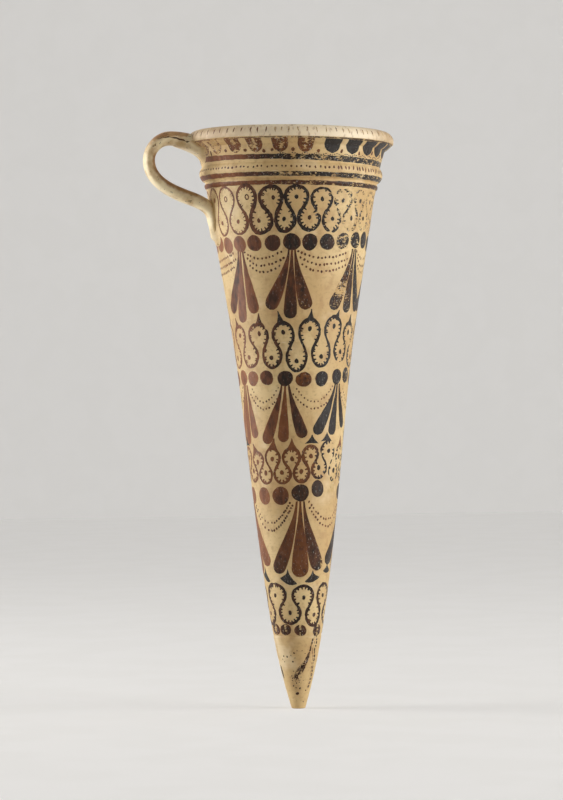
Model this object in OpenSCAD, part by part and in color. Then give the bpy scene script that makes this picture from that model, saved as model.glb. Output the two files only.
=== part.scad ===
/* [Body] */
// Height from the cut end of the tip to the flat land on the lip
vessel_h = 340; // [325:1:370]
// Level thickness of the thrown wall
wall_t = 4.4; // [3.6:0.1:5]
// Outer radius of the wall at the cut end of the tip
tip_r = 4; // [3.8:0.1:4.6]
// Outward lean of the wall at the tip, radius gained per unit of height
tip_lean = 0.3; // [0.25:0.01:0.4]
// Height of the join between the tip and the lower wall
nose_h = 43.5; // [38:0.5:52]
// Outer radius at that join
nose_r = 14.3; // [13:0.1:15.5]
// Outward lean of the wall at that join
nose_lean = 0.17; // [0.14:0.01:0.2]
// Height of the join between the lower and the upper wall
middle_h = 193; // [170:1:215]
// Outer radius at that join
middle_r = 32.4; // [30:0.2:35]
// Outward lean of the wall at that join
middle_lean = 0.114; // [0.08:0.002:0.14]
// Depth below the land at which the body ends and the collar begins to flare
neck_drop = 29; // [27:0.5:34]
// Outer radius where the flare begins
neck_r = 50.6; // [48:0.2:52]
// Outward lean of the wall there
neck_lean = 0.15; // [0.1:0.01:0.2]
// Height of the slanted overlap in each join of the wall
scarf_h = 6; // [4:0.5:8]

/* [Tip] */
// Radius of the pouring hole
pour_r = 2; // [1.4:0.1:2.3]
// Length of the straight part of the pouring hole
pour_len = 14; // [10:0.5:18]
// Height of the cone that leads from the cup's floor into the hole
funnel_h = 5; // [3:0.5:8]
// Rounding of the tip's outer edge
tip_round = 0.8; // [0.4:0.1:1]

/* [Mouth] */
// Outer radius of the wall where the lip bead sits on it
mouth_r = 55.4; // [54:0.2:57]
// Outward lean of the wall just under the lip
mouth_lean = 0.3; // [0.2:0.02:0.4]
// How far the rolled lip stands out past the wall under it
lip_out = 5.4; // [4.6:0.2:6.4]
// Radius of the lip bead's round section
bead_r = 5.4; // [4.8:0.1:5.8]
// Width of the flat land on top of the lip
land_w = 3; // [2:0.2:4]

/* [Mouldings] */
// Depth of the middle of the broad moulding below the land
broad_drop = 25.4; // [24:0.2:27]
// Height of the broad moulding
broad_h = 8.8; // [8:0.2:9.6]
// How far the broad moulding stands proud of the wall
broad_proud = 2.4; // [1.8:0.1:2.8]
// Gap on the wall between the broad moulding and the narrow ridge
ridge_gap = 0.6; // [0.4:0.1:1.5]
// Height of the narrow ridge
ridge_h = 3.6; // [3:0.2:4]
// How far the narrow ridge stands proud of the wall
ridge_proud = 0.8; // [0.5:0.1:1.2]

/* [Handle] */
// Depth of the strap's middle below the land where it starts in the collar
head_drop = 9; // [8:0.2:10]
// Strap width where it leaves the lip
head_w = 15; // [13:0.5:17]
// Strap thickness where it leaves the lip
head_t = 8.6; // [8:0.2:9.4]
// Distance of the crown of the loop from the lip's outer face
crown_out = 11.6; // [9:0.2:14]
// Depth of the strap's top face below the land at the crown
crown_drop = 0.5; // [0.2:0.1:1.5]
// Strap width at the crown
crown_w = 13; // [11:0.5:15]
// Strap thickness at the crown
crown_t = 8.2; // [6:0.2:8.6]
// Distance of the strap's outermost middle point from the lip's outer face
reach_out = 24.2; // [20:0.2:30]
// Depth of that outermost point below the land
reach_drop = 17.5; // [15:0.5:20]
// Strap width there
reach_w = 12.5; // [11:0.5:14]
// Strap thickness there
reach_t = 6.4; // [5:0.2:7]
// Distance of the strap's lower bend from the wall's outer face
elbow_out = 12.6; // [10:0.2:15]
// Depth of that lower bend below the land
elbow_drop = 39.2; // [37:0.2:42]
// Strap width at the lower bend
elbow_w = 12.5; // [11:0.5:14]
// Strap thickness at the lower bend
elbow_t = 7.8; // [5:0.2:8.4]
// Depth below the land at which the strap comes to lie along the wall
root_drop = 51; // [49:0.5:54]
// Strap width there
root_w = 12; // [10:0.5:13]
// Strap thickness there, half of it within the line of the wall
root_t = 7; // [5:0.2:8]
// Depth of the end of the strap's tail below the land
tail_drop = 67; // [62:0.5:72]
// Width of the tail's end
tail_w = 5; // [3:0.5:6]
// Thickness of the tail's end
tail_t = 2.4; // [2:0.2:3]
// Radius of the peg that keys the strap's root into the wall
peg_r = 2.5; // [2:0.1:3]
// Clearance round the peg in its bore
peg_gap = 0.1; // [0.05:0.05:0.3]
// Depth of the peg below the land
peg_drop = 50; // [48:0.5:53]
// How far clay spreads down the collar below the strap's head
head_fillet_h = 8; // [6:0.2:9]
// How far that clay reaches along the strap from its start in the collar
head_fillet_l = 14; // [11:0.5:16]
// How far clay spreads to each side of the strap's root
root_fillet_w = 3; // [2:0.2:4]
// How far that clay reaches out along the strap from the wall
root_fillet_l = 8; // [6:0.5:10]

/* [Hidden] */
clay = [0.80, 0.70, 0.51];
clay_dark = [0.72, 0.61, 0.43];
slip = [0.36, 0.24, 0.20];
fine = 128;
peg_fine = 48;
wall_steps = 12;
round_steps = 6;
// How far a cutting shape runs past the clay that it cuts
over = 1;
neck_h = vessel_h - neck_drop;
lip_r = mouth_r + lip_out;
bead_x = lip_r - bead_r;
bead_z = vessel_h - sqrt(bead_r * bead_r - land_w * land_w / 4);
mouth_h = bead_z - bead_r;
seat_h = bead_z - bead_r / 5;
broad_z = vessel_h - broad_drop;
ridge_z = broad_z - broad_h / 2 - ridge_gap - ridge_h / 2;
floor_h = pour_len + funnel_h;
// Depth at which the edge of smoothed clay runs out inside the strap
buried = 0.3;

// The outer profile is a smooth curve through five stations: [height, radius, lean].
tip_at = [0, tip_r, tip_lean];
nose_at = [nose_h, nose_r, nose_lean];
middle_at = [middle_h, middle_r, middle_lean];
neck_at = [neck_h, neck_r, neck_lean];
mouth_at = [mouth_h, mouth_r, mouth_lean];
function smooth(z, a, b) =
    let (h = b[0] - a[0], t = (z - a[0]) / h)
    a[1] * (2 * t * t * t - 3 * t * t + 1) + h * a[2] * (t * t * t - 2 * t * t + t)
    + b[1] * (3 * t * t - 2 * t * t * t) + h * b[2] * (t * t * t - t * t);
function wall_r(z) =
    z < nose_h ? smooth(z, tip_at, nose_at)
    : z < middle_h ? smooth(z, nose_at, middle_at)
    : z < neck_h ? smooth(z, middle_at, neck_at)
    : z < mouth_h ? smooth(z, neck_at, mouth_at)
    : mouth_r + mouth_lean * (z - mouth_h);
function bore_r(z) = wall_r(z) - wall_t;
function rising(a, b) = [for (i = [0 : wall_steps]) a + (b - a) * i / wall_steps];
function outer_line(a, b) = [for (z = rising(a, b)) [wall_r(z), z]];
function inner_line(a, b) = [for (z = rising(b, a)) [bore_r(z), z]];
// The part of the outer profile that carries the lip, the mouldings and the handle.
upper_line = concat(outer_line(middle_h, broad_z), outer_line(broad_z, seat_h));

// One thrown ring of wall, from join a to join b. The joins slant up towards the hollow.
module wall_ring(a, b) {
    rotate_extrude($fn = fine)
        polygon(concat(outer_line(a, b), inner_line(a + scarf_h, b + scarf_h)));
}

// Section through the lip's round bead, cut flat on top.
module bead_section() {
    intersection() {
        translate([bead_x, bead_z]) circle(r = bead_r, $fn = fine);
        translate([0, mouth_h - over]) square([lip_r + over, vessel_h - mouth_h + over]);
    }
}

// Section of a round coil on the wall: a circle that stands proud of it between two heights.
module coil_circle(z, h, proud) {
    low = [wall_r(z - h / 2), z - h / 2];
    high = [wall_r(z + h / 2), z + h / 2];
    half = norm(high - low) / 2;
    r = (half * half + proud * proud) / (2 * proud);
    out = [high[1] - low[1], low[0] - high[0]] / (2 * half);
    translate((low + high) / 2 + out * (proud - r)) circle(r = r, $fn = fine);
}

// Half section of everything inside the wall's outer line.
module core_section() {
    polygon(concat([[0, middle_h]], upper_line, [[0, seat_h]]));
}

// A coil pressed onto the wall, without the wall itself.
module pressed_coil(z, h, proud) {
    rotate_extrude($fn = fine) difference() {
        coil_circle(z, h, proud);
        core_section();
    }
}

// The body, its mouldings and its lip as one solid, which the handle is cut back to.
module skin_solid() {
    rotate_extrude($fn = fine) {
        core_section();
        bead_section();
        translate([0, seat_h - over]) square([bead_x, vessel_h - seat_h + over]);
        coil_circle(broad_z, broad_h, broad_proud);
        coil_circle(ridge_z, ridge_h, ridge_proud);
    }
}

// The strap's path lies in one plane through the axis: [distance from the axis, height].
head_at = [mouth_r - wall_t, vessel_h - head_drop];
crown_at = [lip_r + crown_out, vessel_h - crown_drop - crown_t / 2];
reach_at = [lip_r + reach_out, vessel_h - reach_drop];
elbow_at = [wall_r(vessel_h - elbow_drop) + elbow_out, vessel_h - elbow_drop];
root_at = [wall_r(vessel_h - root_drop), vessel_h - root_drop];
tail_at = [wall_r(vessel_h - tail_drop), vessel_h - tail_drop];
head_dir = [0.96, 0.28];
crown_dir = [1, 0];
reach_dir = [0, -1];
elbow_dir = [-0.94, -0.34];
tail_dir = (tail_at - root_at) / norm(tail_at - root_at);
pull = 0.37;
// Four Bezier points that leave a along one direction and reach b along another.
function leap(a, leave, b, arrive) =
    let (far = pull * norm(b - a)) [a, a + far * leave, b - far * arrive, b];
function bezier(p, t) =
    let (u = 1 - t) u * u * u * p[0] + 3 * u * u * t * p[1] + 3 * u * t * t * p[2] + t * t * t * p[3];
// Each stretch of strap: its Bezier points, and [width, thickness] at its start and end.
stretches = [
    [leap(head_at, head_dir, crown_at, crown_dir), [head_w, head_t], [crown_w, crown_t]],
    [leap(crown_at, crown_dir, reach_at, reach_dir), [crown_w, crown_t], [reach_w, reach_t]],
    [leap(reach_at, reach_dir, elbow_at, elbow_dir), [reach_w, reach_t], [elbow_w, elbow_t]],
    [leap(elbow_at, elbow_dir, root_at, tail_dir), [elbow_w, elbow_t], [root_w, root_t]],
    [leap(root_at, tail_dir, tail_at, tail_dir), [root_w, root_t], [tail_w, tail_t]]
];
path_steps = 9;
strap_sides = 20;
squareness = 2.6;
function eased(t) = t * t * (3 - 2 * t);
// Stations along the strap: [point, width, thickness].
stations = [for (k = [0 : len(stretches) - 1], i = [0 : path_steps]) if (i > 0 || k == 0)
    let (s = stretches[k], t = i / path_steps, size = s[1] + (s[2] - s[1]) * eased(t))
    [bezier(s[0], t), size[0], size[1]]];
last = len(stations) - 1;
elbow_station = 3 * path_steps;
function heading(i) =
    let (d = stations[min(i + 1, last)][0] - stations[max(i - 1, 0)][0]) d / norm(d);
function bowed(v) = sign(v) * pow(abs(v), 2 / squareness);
// A ring of points round station i: grow = [on each side, on the loop's inner face, on its outer face].
function ring(i, grow) =
    let (p = stations[i][0], d = heading(i), n = [d[1], -d[0]], w = stations[i][1] / 2, t = stations[i][2] / 2)
    [for (j = [0 : strap_sides - 1])
        let (q = 360 * (j + 0.5) / strap_sides, face = sin(q) > 0 ? t + grow[1] : t + grow[2],
             o = p + n * face * bowed(sin(q)))
        [-o[0], (w + grow[0]) * bowed(cos(q)), o[1]]];

// A closed sweep through rings of equal length.
module sweep(rings) {
    n = len(rings[0]);
    end = n * (len(rings) - 1);
    polyhedron(
        points = [for (r = rings) each r],
        faces = concat(
            [for (i = [0 : len(rings) - 2], j = [0 : n - 1])
                [n * i + j, n * (i + 1) + (j + 1) % n, n * i + (j + 1) % n]],
            [for (i = [0 : len(rings) - 2], j = [0 : n - 1])
                [n * i + j, n * (i + 1) + j, n * (i + 1) + (j + 1) % n]],
            [[for (j = [0 : n - 1]) j], [for (j = [n - 1 : -1 : 0]) end + j]]
        )
    );
}

module strap_sweep() {
    sweep([for (i = [0 : last]) ring(i, [0, 0, 0])]);
}

// A peg square to the wall, at the side that carries the handle.
module peg(r, inside, outside) {
    z = vessel_h - peg_drop;
    lean = atan(wall_r(z + 0.5) - wall_r(z - 0.5));
    translate([-wall_r(z), 0, z]) rotate([0, 90 - lean, 0]) translate([0, 0, -outside])
        cylinder(r = r, h = inside + outside, $fn = peg_fine);
}

module pouring_tip() {
    tip_line = [for (i = [0 : round_steps])
        let (q = 90 * i / round_steps)
        [wall_r(tip_round) - tip_round * (1 - sin(q)), tip_round * (1 - cos(q))]];
    color(clay) difference() {
        rotate_extrude($fn = fine)
            polygon(concat(
                [[0, 0]], tip_line, outer_line(2 * tip_round, nose_h),
                inner_line(floor_h, nose_h + scarf_h), [[0, floor_h]]
            ));
        translate([0, 0, -over]) cylinder(r = pour_r, h = floor_h + 2 * over, $fn = peg_fine);
        translate([0, 0, pour_len]) cylinder(r1 = pour_r, r2 = bore_r(floor_h), h = funnel_h, $fn = fine);
    }
}

module lower_wall() {
    color(clay) wall_ring(nose_h, middle_h);
}

module upper_wall() {
    color(clay) difference() {
        wall_ring(middle_h, broad_z);
        peg(peg_r + peg_gap, 3 * wall_t, wall_t);
    }
}

module collar_wall() {
    color(clay) rotate_extrude($fn = fine) difference() {
        polygon(concat(outer_line(broad_z, seat_h), inner_line(broad_z + scarf_h, seat_h)));
        bead_section();
    }
}

module rolled_lip() {
    color(clay) rotate_extrude($fn = fine) bead_section();
}

module broad_moulding() {
    color(clay_dark) pressed_coil(broad_z, broad_h, broad_proud);
}

module narrow_ridge() {
    color(clay_dark) pressed_coil(ridge_z, ridge_h, ridge_proud);
}

module handle_strap() {
    color(slip) {
        difference() {
            strap_sweep();
            skin_solid();
        }
        peg(peg_r, wall_t, root_t / 4);
    }
}

// Clay smoothed round the strap's head, from the collar up the strap's underside.
module handle_head_fillet() {
    function spread(i) =
        let (x = (stations[i][0][0] - head_at[0]) / head_fillet_l)
        head_fillet_h * pow(max(0, 1 - x), 3) - buried;
    color(clay_dark) difference() {
        sweep([for (i = [0 : path_steps]) let (g = spread(i)) ring(i, [g / 2, g, -buried])]);
        strap_sweep();
        skin_solid();
    }
}

// Clay smoothed onto the wall along both sides of the strap's root and tail.
module handle_root_fillet() {
    function spread(i) =
        let (x = max(0, stations[i][0][0] - root_at[0]) / root_fillet_l)
        root_fillet_w * pow(max(0, 1 - x), 2) - buried;
    color(clay_dark) difference() {
        sweep([for (i = [elbow_station : last - 1])
            let (g = spread(i)) ring(i, [g, g, -stations[i][2] / 4])]);
        strap_sweep();
        skin_solid();
        peg(peg_r, wall_t, root_t / 4);
    }
}

pouring_tip();
lower_wall();
upper_wall();
collar_wall();
rolled_lip();
broad_moulding();
narrow_ridge();
handle_strap();
handle_head_fillet();
handle_root_fillet();
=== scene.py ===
# %% [markdown]
# This lesson dresses a conical drinking cup of painted clay. The measured model, with one node for
# each piece of clay, is loaded first and fixes every size. Each new piece stands exactly where its
# node stands, so it could be swapped back at any time.

# %% Load the frame
import math
import random

import bmesh
import bpy
import numpy as np
from mathutils import Matrix, Vector


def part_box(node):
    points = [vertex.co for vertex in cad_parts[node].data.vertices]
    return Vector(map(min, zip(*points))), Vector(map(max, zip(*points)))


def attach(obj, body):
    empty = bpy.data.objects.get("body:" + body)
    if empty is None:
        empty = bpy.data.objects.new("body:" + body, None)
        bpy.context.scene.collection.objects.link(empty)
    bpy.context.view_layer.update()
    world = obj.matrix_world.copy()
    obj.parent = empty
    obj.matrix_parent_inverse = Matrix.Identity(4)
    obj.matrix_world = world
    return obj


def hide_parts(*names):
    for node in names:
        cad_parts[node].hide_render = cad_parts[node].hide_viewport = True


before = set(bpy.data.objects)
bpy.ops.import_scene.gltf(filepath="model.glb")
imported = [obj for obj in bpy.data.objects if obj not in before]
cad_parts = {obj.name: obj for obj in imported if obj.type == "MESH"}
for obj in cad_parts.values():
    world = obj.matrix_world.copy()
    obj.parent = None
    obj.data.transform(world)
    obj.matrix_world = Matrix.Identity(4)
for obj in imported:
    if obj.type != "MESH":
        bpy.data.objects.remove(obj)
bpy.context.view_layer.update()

mm = 0.001
print("nodes:", len(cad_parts))

# %% [markdown]
# Every thrown pot is a profile turned round an axis. The cup's profile is one smooth curve through
# five stations, and each station has a height, a radius and a lean. All the pieces below, and all
# the painting, take their place from this one curve. Sizes here are in millimetres and become
# metres when a mesh is made. The heights are read from the frame, so they can't drift from it.

# %% The cup's profile
def top_of(node):
    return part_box(node)[1].z / mm


def between(value, start, end):
    """How far a value has come from start to end, from 0 to 1. start may lie above end."""
    return np.clip((value - start) / (end - start), 0, 1)


vessel_h = top_of("rolled_lip")
# Room that the strokes painted on the lip need inside the measured box
paint_room = 0.07
lip_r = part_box("rolled_lip")[1].x / mm - paint_room
wall_t = 4.4
scarf_h = 6.0
nose_h = top_of("pouring_tip") - scarf_h
middle_h = top_of("lower_wall") - scarf_h
broad_z = top_of("upper_wall") - scarf_h
neck_h = vessel_h - 29
bead_r = 5.4
land_w = 3.0
bead_x = lip_r - bead_r
bead_z = vessel_h - math.sqrt(bead_r**2 - land_w**2 / 4)
mouth_h = bead_z - bead_r
seat_h = bead_z - bead_r / 5
# Height, radius and lean: cut end of the tip, nose, middle, neck and mouth
stations = np.array([(0, 4, 0.3), (nose_h, 14.3, 0.17), (middle_h, 32.4, 0.114), (neck_h, 50.6, 0.15),
                     (mouth_h, bead_x, 0.3)])


def wall_r(z):
    """Outer radius of the wall at height z, for one height or an array of them."""
    z = np.asarray(z, float)
    low = np.searchsorted(stations[1:-1, 0], z, side="right")
    z0, r0, lean0 = stations[low].T
    z1, r1, lean1 = stations[low + 1].T
    t = between(z, z0, z1)
    curve = (r0 * (2 * t**3 - 3 * t**2 + 1) + (z1 - z0) * lean0 * (t**3 - 2 * t**2 + t)
             + r1 * (3 * t**2 - 2 * t**3) + (z1 - z0) * lean1 * (t**3 - t**2))
    return curve + stations[-1, 2] * np.maximum(z - mouth_h, 0)


for node_name, height in (("pouring_tip", nose_h), ("lower_wall", middle_h), ("upper_wall", broad_z)):
    frame_r = round(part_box(node_name)[1].x / mm, 2)
    print(node_name, "profile r", round(float(wall_r(height)), 2), "frame r", frame_r)

# %% [markdown]
# The two mouldings are coils of clay pressed on the wall, so each is a slice of a circle that stands
# proud of it. The painter's brush rides over them, which is why the painting asks for one function
# that gives the outermost clay at any height: the wall, a coil, or the rolled lip.

# %% The outermost clay at any height
def coil(z, height, proud):
    """Centre and radius of the circle that stands proud of the wall round height z."""
    low = np.array([float(wall_r(z - height / 2)), z - height / 2])
    high = np.array([float(wall_r(z + height / 2)), z + height / 2])
    half = np.linalg.norm(high - low) / 2
    radius = (half**2 + proud**2) / (2 * proud)
    out = np.array([high[1] - low[1], low[0] - high[0]]) / (2 * half)
    return (low + high) / 2 + out * (proud - radius), radius


broad_h, broad_proud = 8.8, 2.4
ridge_h, ridge_proud, ridge_gap = 3.6, 0.8, 0.6
ridge_z = broad_z - broad_h / 2 - ridge_gap - ridge_h / 2
broad_coil = coil(broad_z, broad_h, broad_proud)
ridge_coil = coil(ridge_z, ridge_h, ridge_proud)
bead = (np.array([bead_x, bead_z]), bead_r)
# The lip's crisp edge lies a little below the middle of its bead
edge_drop = 1.6
edge_r = lip_r - 0.5
edge_z = bead_z - edge_drop


def circle_r(circle, z):
    """Outer radius of a section circle at height z, or zero above and below it."""
    (cx, cz), radius = circle
    return np.where(np.abs(z - cz) < radius, cx + np.sqrt(np.maximum(radius**2 - (z - cz) ** 2, 0)), 0)


def ripple(angle, z):
    """Shallow marks that the potter's fingers leave on the wall, faded out under the mouldings."""
    turns = 0.030 * np.sin(2 * np.pi * z / 9.7 + 0.8 * np.sin(angle + 0.4))
    turns = turns + 0.018 * np.sin(2 * np.pi * z / 5.9 + 0.7 * np.sin(2 * angle))
    uneven = 0.05 * np.sin(2 * angle + z / 45) - 0.05
    seam_depth, seam_half = 0.16, 0.45
    seam = seam_depth * np.exp(-(((z - nose_h) / seam_half) ** 2))
    return between(z, 302, 296) * (turns + uneven) - seam


def clay_r(angle, z):
    """Radius of the outermost clay at an angle and a height. Above the mouth's height that is the lip."""
    z = np.asarray(z, float)
    wall = wall_r(z) + ripple(angle, z)
    body = np.maximum(wall, np.maximum(circle_r(broad_coil, z), circle_r(ridge_coil, z)))
    slant = bead_x + (edge_r - bead_x) * between(z, mouth_h, edge_z) ** 0.8
    lip = np.where(z < edge_z, slant, circle_r(bead, np.minimum(z, vessel_h)))
    return np.where(z > mouth_h, lip, body)


frame_r = round(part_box("broad_moulding")[1].x / mm, 2)
print("moulding stands out to r", round(float(clay_r(0.0, broad_z)), 2), "of", frame_r)

# %% [markdown]
# Meshes start from Blender's own primitives and operators. These helpers open a whole piece for
# editing, mend it after an operator, and move all its points by one law, which is how the shapes
# below get their form.

# %% Helpers for meshes
def deselect():
    if bpy.context.object and bpy.context.object.mode != "OBJECT":
        bpy.ops.object.mode_set(mode="OBJECT")
    bpy.ops.object.select_all(action="DESELECT")


def edit_all():
    """Opens the active piece for editing, with all of it selected."""
    bpy.ops.object.mode_set(mode="EDIT")
    bpy.ops.mesh.select_all(action="SELECT")


def whole_again(smooth_angle=40):
    """Merges doubles, turns every face outwards and smooths the gentle edges of the active piece."""
    edit_all()
    bpy.ops.mesh.remove_doubles(threshold=0.002 * mm)
    bpy.ops.mesh.normals_make_consistent(inside=False)
    bpy.ops.object.mode_set(mode="OBJECT")
    bpy.ops.object.shade_smooth_by_angle(angle=math.radians(smooth_angle))


def reshape(piece, law):
    """Moves all points of a piece. law takes them as one array and gives their new places in metres."""
    co = np.empty(len(piece.data.vertices) * 3)
    piece.data.vertices.foreach_get("co", co)
    piece.data.vertices.foreach_set("co", law(co.reshape(-1, 3)).ravel())
    piece.data.update()


def round_axis(angle, r, z):
    """Points in metres from an angle, a radius and a height in millimetres."""
    return np.stack([r * np.sin(angle), -r * np.cos(angle), z], 1) * mm


def thick_grid(cols, rows):
    """A grid of two layers, closed at its edge: across and along from -1 to 1, and layer 0 or 1."""
    deselect()
    bpy.ops.mesh.primitive_grid_add(x_subdivisions=cols, y_subdivisions=rows, size=2)
    edit_all()
    bpy.ops.mesh.extrude_region_move(TRANSFORM_OT_translate={"value": (0, 0, 1)})
    bpy.ops.object.mode_set(mode="OBJECT")
    return bpy.context.object


# %% [markdown]
# A ring of thrown clay is a closed section spun round the axis. A circle gives a closed line with
# the right number of points, the points are set on the section, and Spin turns it into a ring.
# Spin leaves a double seam, so the doubles are merged, and it can turn the shape inside out, so
# the normals are worked out again. A Lathe would need the Screw modifier; Spin leaves plain mesh.

# %% Spin a section into a ring
def spun(name, section, steps=256, shape=None, smooth_angle=40):
    """A ring from a closed section of (radius, height) points. shape(angle, r, z) may then move points."""
    deselect()
    bpy.ops.mesh.primitive_circle_add(vertices=len(section), radius=mm)
    ring = bpy.context.object
    ring.name = name
    for vertex, (r, z) in zip(ring.data.vertices, section):
        vertex.co = (r * mm, 0, z * mm)
    edit_all()
    bpy.ops.mesh.spin(steps=steps, angle=2 * math.pi, center=(0, 0, 0), axis=(0, 0, 1))
    whole_again(smooth_angle)

    def moved(co):
        x, y, z = co.T / mm
        angle = np.arctan2(x, -y)
        return round_axis(angle, *shape(angle, np.hypot(x, y), z))

    if shape:
        reshape(ring, moved)
    print(name, "faces", len(ring.data.polygons))
    return ring


# %% [markdown]
# Soft clay sinks before it dries, and this mouth sank on the side away from the handle. Every
# finished piece is lowered there by the same law, so clay and paint stay together. Then it gets its
# material, its body and, if it is clay, the node that it stands for.

# %% Settle a piece and fix it
slump = 2.3
slump_low, slump_high = 299, 308


def settle(piece):
    """Lowers the mouth a little on the side away from the handle."""
    def sunk(co):
        t = between(co[:, 2] / mm, slump_low, slump_high)
        away = (1 + co[:, 0] / np.maximum(np.hypot(co[:, 0], co[:, 1]), 1e-9)) / 2
        co[:, 2] -= slump * mm * t * t * (3 - 2 * t) * away
        return co

    reshape(piece, sunk)


def place(piece, slot, material, *nodes):
    """Fixes a finished piece to the body and hides the nodes that it stands for."""
    settle(piece)
    piece.data.materials.clear()
    piece.data.materials.append(material)
    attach(piece, "root")
    if nodes:
        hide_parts(*nodes)


# %% [markdown]
# A finish is a small tree of nodes. These helpers keep the trees readable: one adds a node, one
# adds noise at a size given in millimetres, one mixes two colours by a mask, and one lays blotches
# of a colour over another. Colours are written as they look on screen, from 0 to 255, and turned
# into the linear values that shaders use.

# %% Helpers for finishes
def seen(r, g, b):
    """A screen colour as the linear colour that a shader takes."""
    def linear(c):
        c /= 255
        return c / 12.92 if c <= 0.04045 else ((c + 0.055) / 1.055) ** 2.4
    return (linear(r), linear(g), linear(b), 1.0)


class Finish:
    """One procedural material, with short calls for the nodes that its pattern needs."""

    def __init__(self, name, roughness_range, bump):
        self.material = bpy.data.materials.new(name)
        self.material.use_nodes = True
        self.tree = self.material.node_tree
        self.shader = self.tree.nodes["Principled BSDF"]
        self.place = self.add("ShaderNodeTexCoord").outputs["Object"]
        self.roughness_range = roughness_range
        self.bump = bump

    def add(self, kind, inputs=None, **settings):
        """A new node. inputs gives some of its sockets a plain value or another node's output."""
        made = self.tree.nodes.new(kind)
        for key, value in settings.items():
            setattr(made, key, value)
        for name, value in (inputs or {}).items():
            self.link(value, made.inputs[name])
        return made

    def link(self, source, target):
        """Feeds a socket with a plain value or another node's output."""
        if isinstance(source, bpy.types.NodeSocket):
            self.tree.links.new(source, target)
        else:
            target.default_value = source

    def noise(self, size, stretch=(1, 1, 1), detail=3, shift=0.0):
        """Noise whose blotches are about size millimetres, stretched along an axis if asked."""
        mapping = self.add("ShaderNodeMapping", {
            "Vector": self.place,
            "Scale": [1 / (size * mm * s) for s in stretch],
            "Location": (shift, shift * 0.7, shift * 1.3)})
        texture = self.add("ShaderNodeTexNoise", {
            "Vector": mapping.outputs["Vector"], "Scale": 1, "Detail": detail})
        return texture.outputs["Fac"]

    def band(self, value, low, high, top=1.0):
        """Zero below low, rising to top at high."""
        limits = {"Value": value, "From Min": low, "From Max": high, "To Max": top}
        return self.add("ShaderNodeMapRange", limits, interpolation_type="SMOOTHSTEP").outputs["Result"]

    def sums(self, kind, *values):
        """One step of arithmetic on plain values or outputs."""
        step = self.add("ShaderNodeMath", operation=kind)
        for socket, value in zip(step.inputs, values):
            self.link(value, socket)
        return step.outputs["Value"]

    def mix(self, mask, first, second):
        """first where the mask is 0 and second where it is 1."""
        step = self.add("ShaderNodeMix", data_type="RGBA")
        for name, value in (("Factor", mask), ("A", first), ("B", second)):
            self.link(value, next(s for s in step.inputs if s.name == name and s.enabled))
        return next(s for s in step.outputs if s.enabled)

    def blotch(self, colour, other, size, low, high, top=1.0, **noise):
        """colour with the screen colour other laid over it where noise rises from low to high."""
        return self.mix(self.band(self.noise(size, **noise), low, high, top), colour, seen(*other))

    def speck(self, spacing, size, chance, top=1.0):
        """Round specks of about size millimetres, spacing apart, of which only some are kept."""
        cells = self.add("ShaderNodeTexVoronoi", {"Vector": self.place, "Scale": 1 / (spacing * mm)})
        parts = self.add("ShaderNodeSeparateColor", {"Color": cells.outputs["Color"]})
        near = self.band(cells.outputs["Distance"], size / spacing, 0.4 * size / spacing, top)
        return self.sums("MULTIPLY", near, self.sums("LESS_THAN", parts.outputs["Red"], chance))

    def finish(self, colour, rough, height):
        """Joins the colour, a roughness mask and a height to the shader."""
        low, high = self.roughness_range
        strength, depth = self.bump
        bump = self.add("ShaderNodeBump", {"Strength": strength, "Distance": depth * mm, "Height": height})
        self.link(colour, self.shader.inputs["Base Color"])
        self.link(self.sums("MULTIPLY_ADD", rough, high - low, low), self.shader.inputs["Roughness"])
        self.link(bump.outputs["Normal"], self.shader.inputs["Normal"])
        return self.material


# %% [markdown]
# The clay is buff, smoothed with a wet hand and fired. It has broad clouds of pink and cream, fine
# mottling and grain, faint level lines from the wheel, a few dark grits and small scratches. Each of
# these is one noise at its own size. The same clay colour is needed again where paint has worn
# away, so it is made by a function that any finish may call.

# %% The bare clay
def clay_colour(f, pale=0.0):
    """Colour of bare clay inside finish f. pale lifts it towards cream."""
    clouded = f.blotch(seen(202, 168, 114), (222, 194, 140), 46, 0.36, 0.66, detail=2, shift=3)
    mottled = f.blotch(clouded, (182, 142, 92), 5.5, 0.47, 0.70, 0.56, stretch=(1, 1, 1.5), detail=4, shift=11)
    grained = f.blotch(mottled, (164, 126, 82), 1.5, 0.50, 0.72, 0.34, stretch=(1.4, 1.4, 1), detail=4,
                       shift=61)
    start = 0.55 - 0.5 * pale
    bloomed = f.blotch(grained, (236, 215, 174), 17, start, start + 0.20, 0.50 + pale, shift=27)
    lined = f.blotch(bloomed, (170, 136, 92), 2.0, 0.60, 0.75, 0.22, stretch=(30, 30, 0.35), detail=2, shift=5)
    gritty = f.mix(f.speck(2.6, 0.30, 0.30, 0.55), lined, seen(120, 88, 58))
    return f.blotch(gritty, (240, 226, 196), 1.1, 0.74, 0.80, 0.45, stretch=(9, 9, 0.5), detail=1, shift=41)


def clay_height(f):
    """Grain, level lines from the wheel, and small pits."""
    grain = f.sums("MULTIPLY", f.noise(0.7, shift=2), 0.5)
    lines = f.noise(1.6, stretch=(30, 30, 0.5), detail=2, shift=7)
    return f.sums("ADD", f.sums("ADD", grain, lines), f.speck(3.4, 0.45, 0.25, -1.2))


def bare_clay(name, pale):
    f = Finish(name, roughness_range=(0.46, 0.66), bump=(0.5, 0.10))
    return f.finish(clay_colour(f, pale), f.noise(9, shift=17), clay_height(f))


wall_clay = bare_clay("smoothed buff clay", 0.0)
tip_clay = bare_clay("clean buff clay of the tip", 0.20)
print("materials:", [m.name for m in (wall_clay, tip_clay)])

# %% [markdown]
# The wall is four thrown rings, one above the other, and their joins slant up towards the hollow,
# as on the real cup where each new band of clay overlapped the last. Each ring is a closed section:
# up the outside, then down the inside one wall thickness away. The inside gets deeper finger
# marks than the outside, because a potter can't smooth it so far down.

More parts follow.
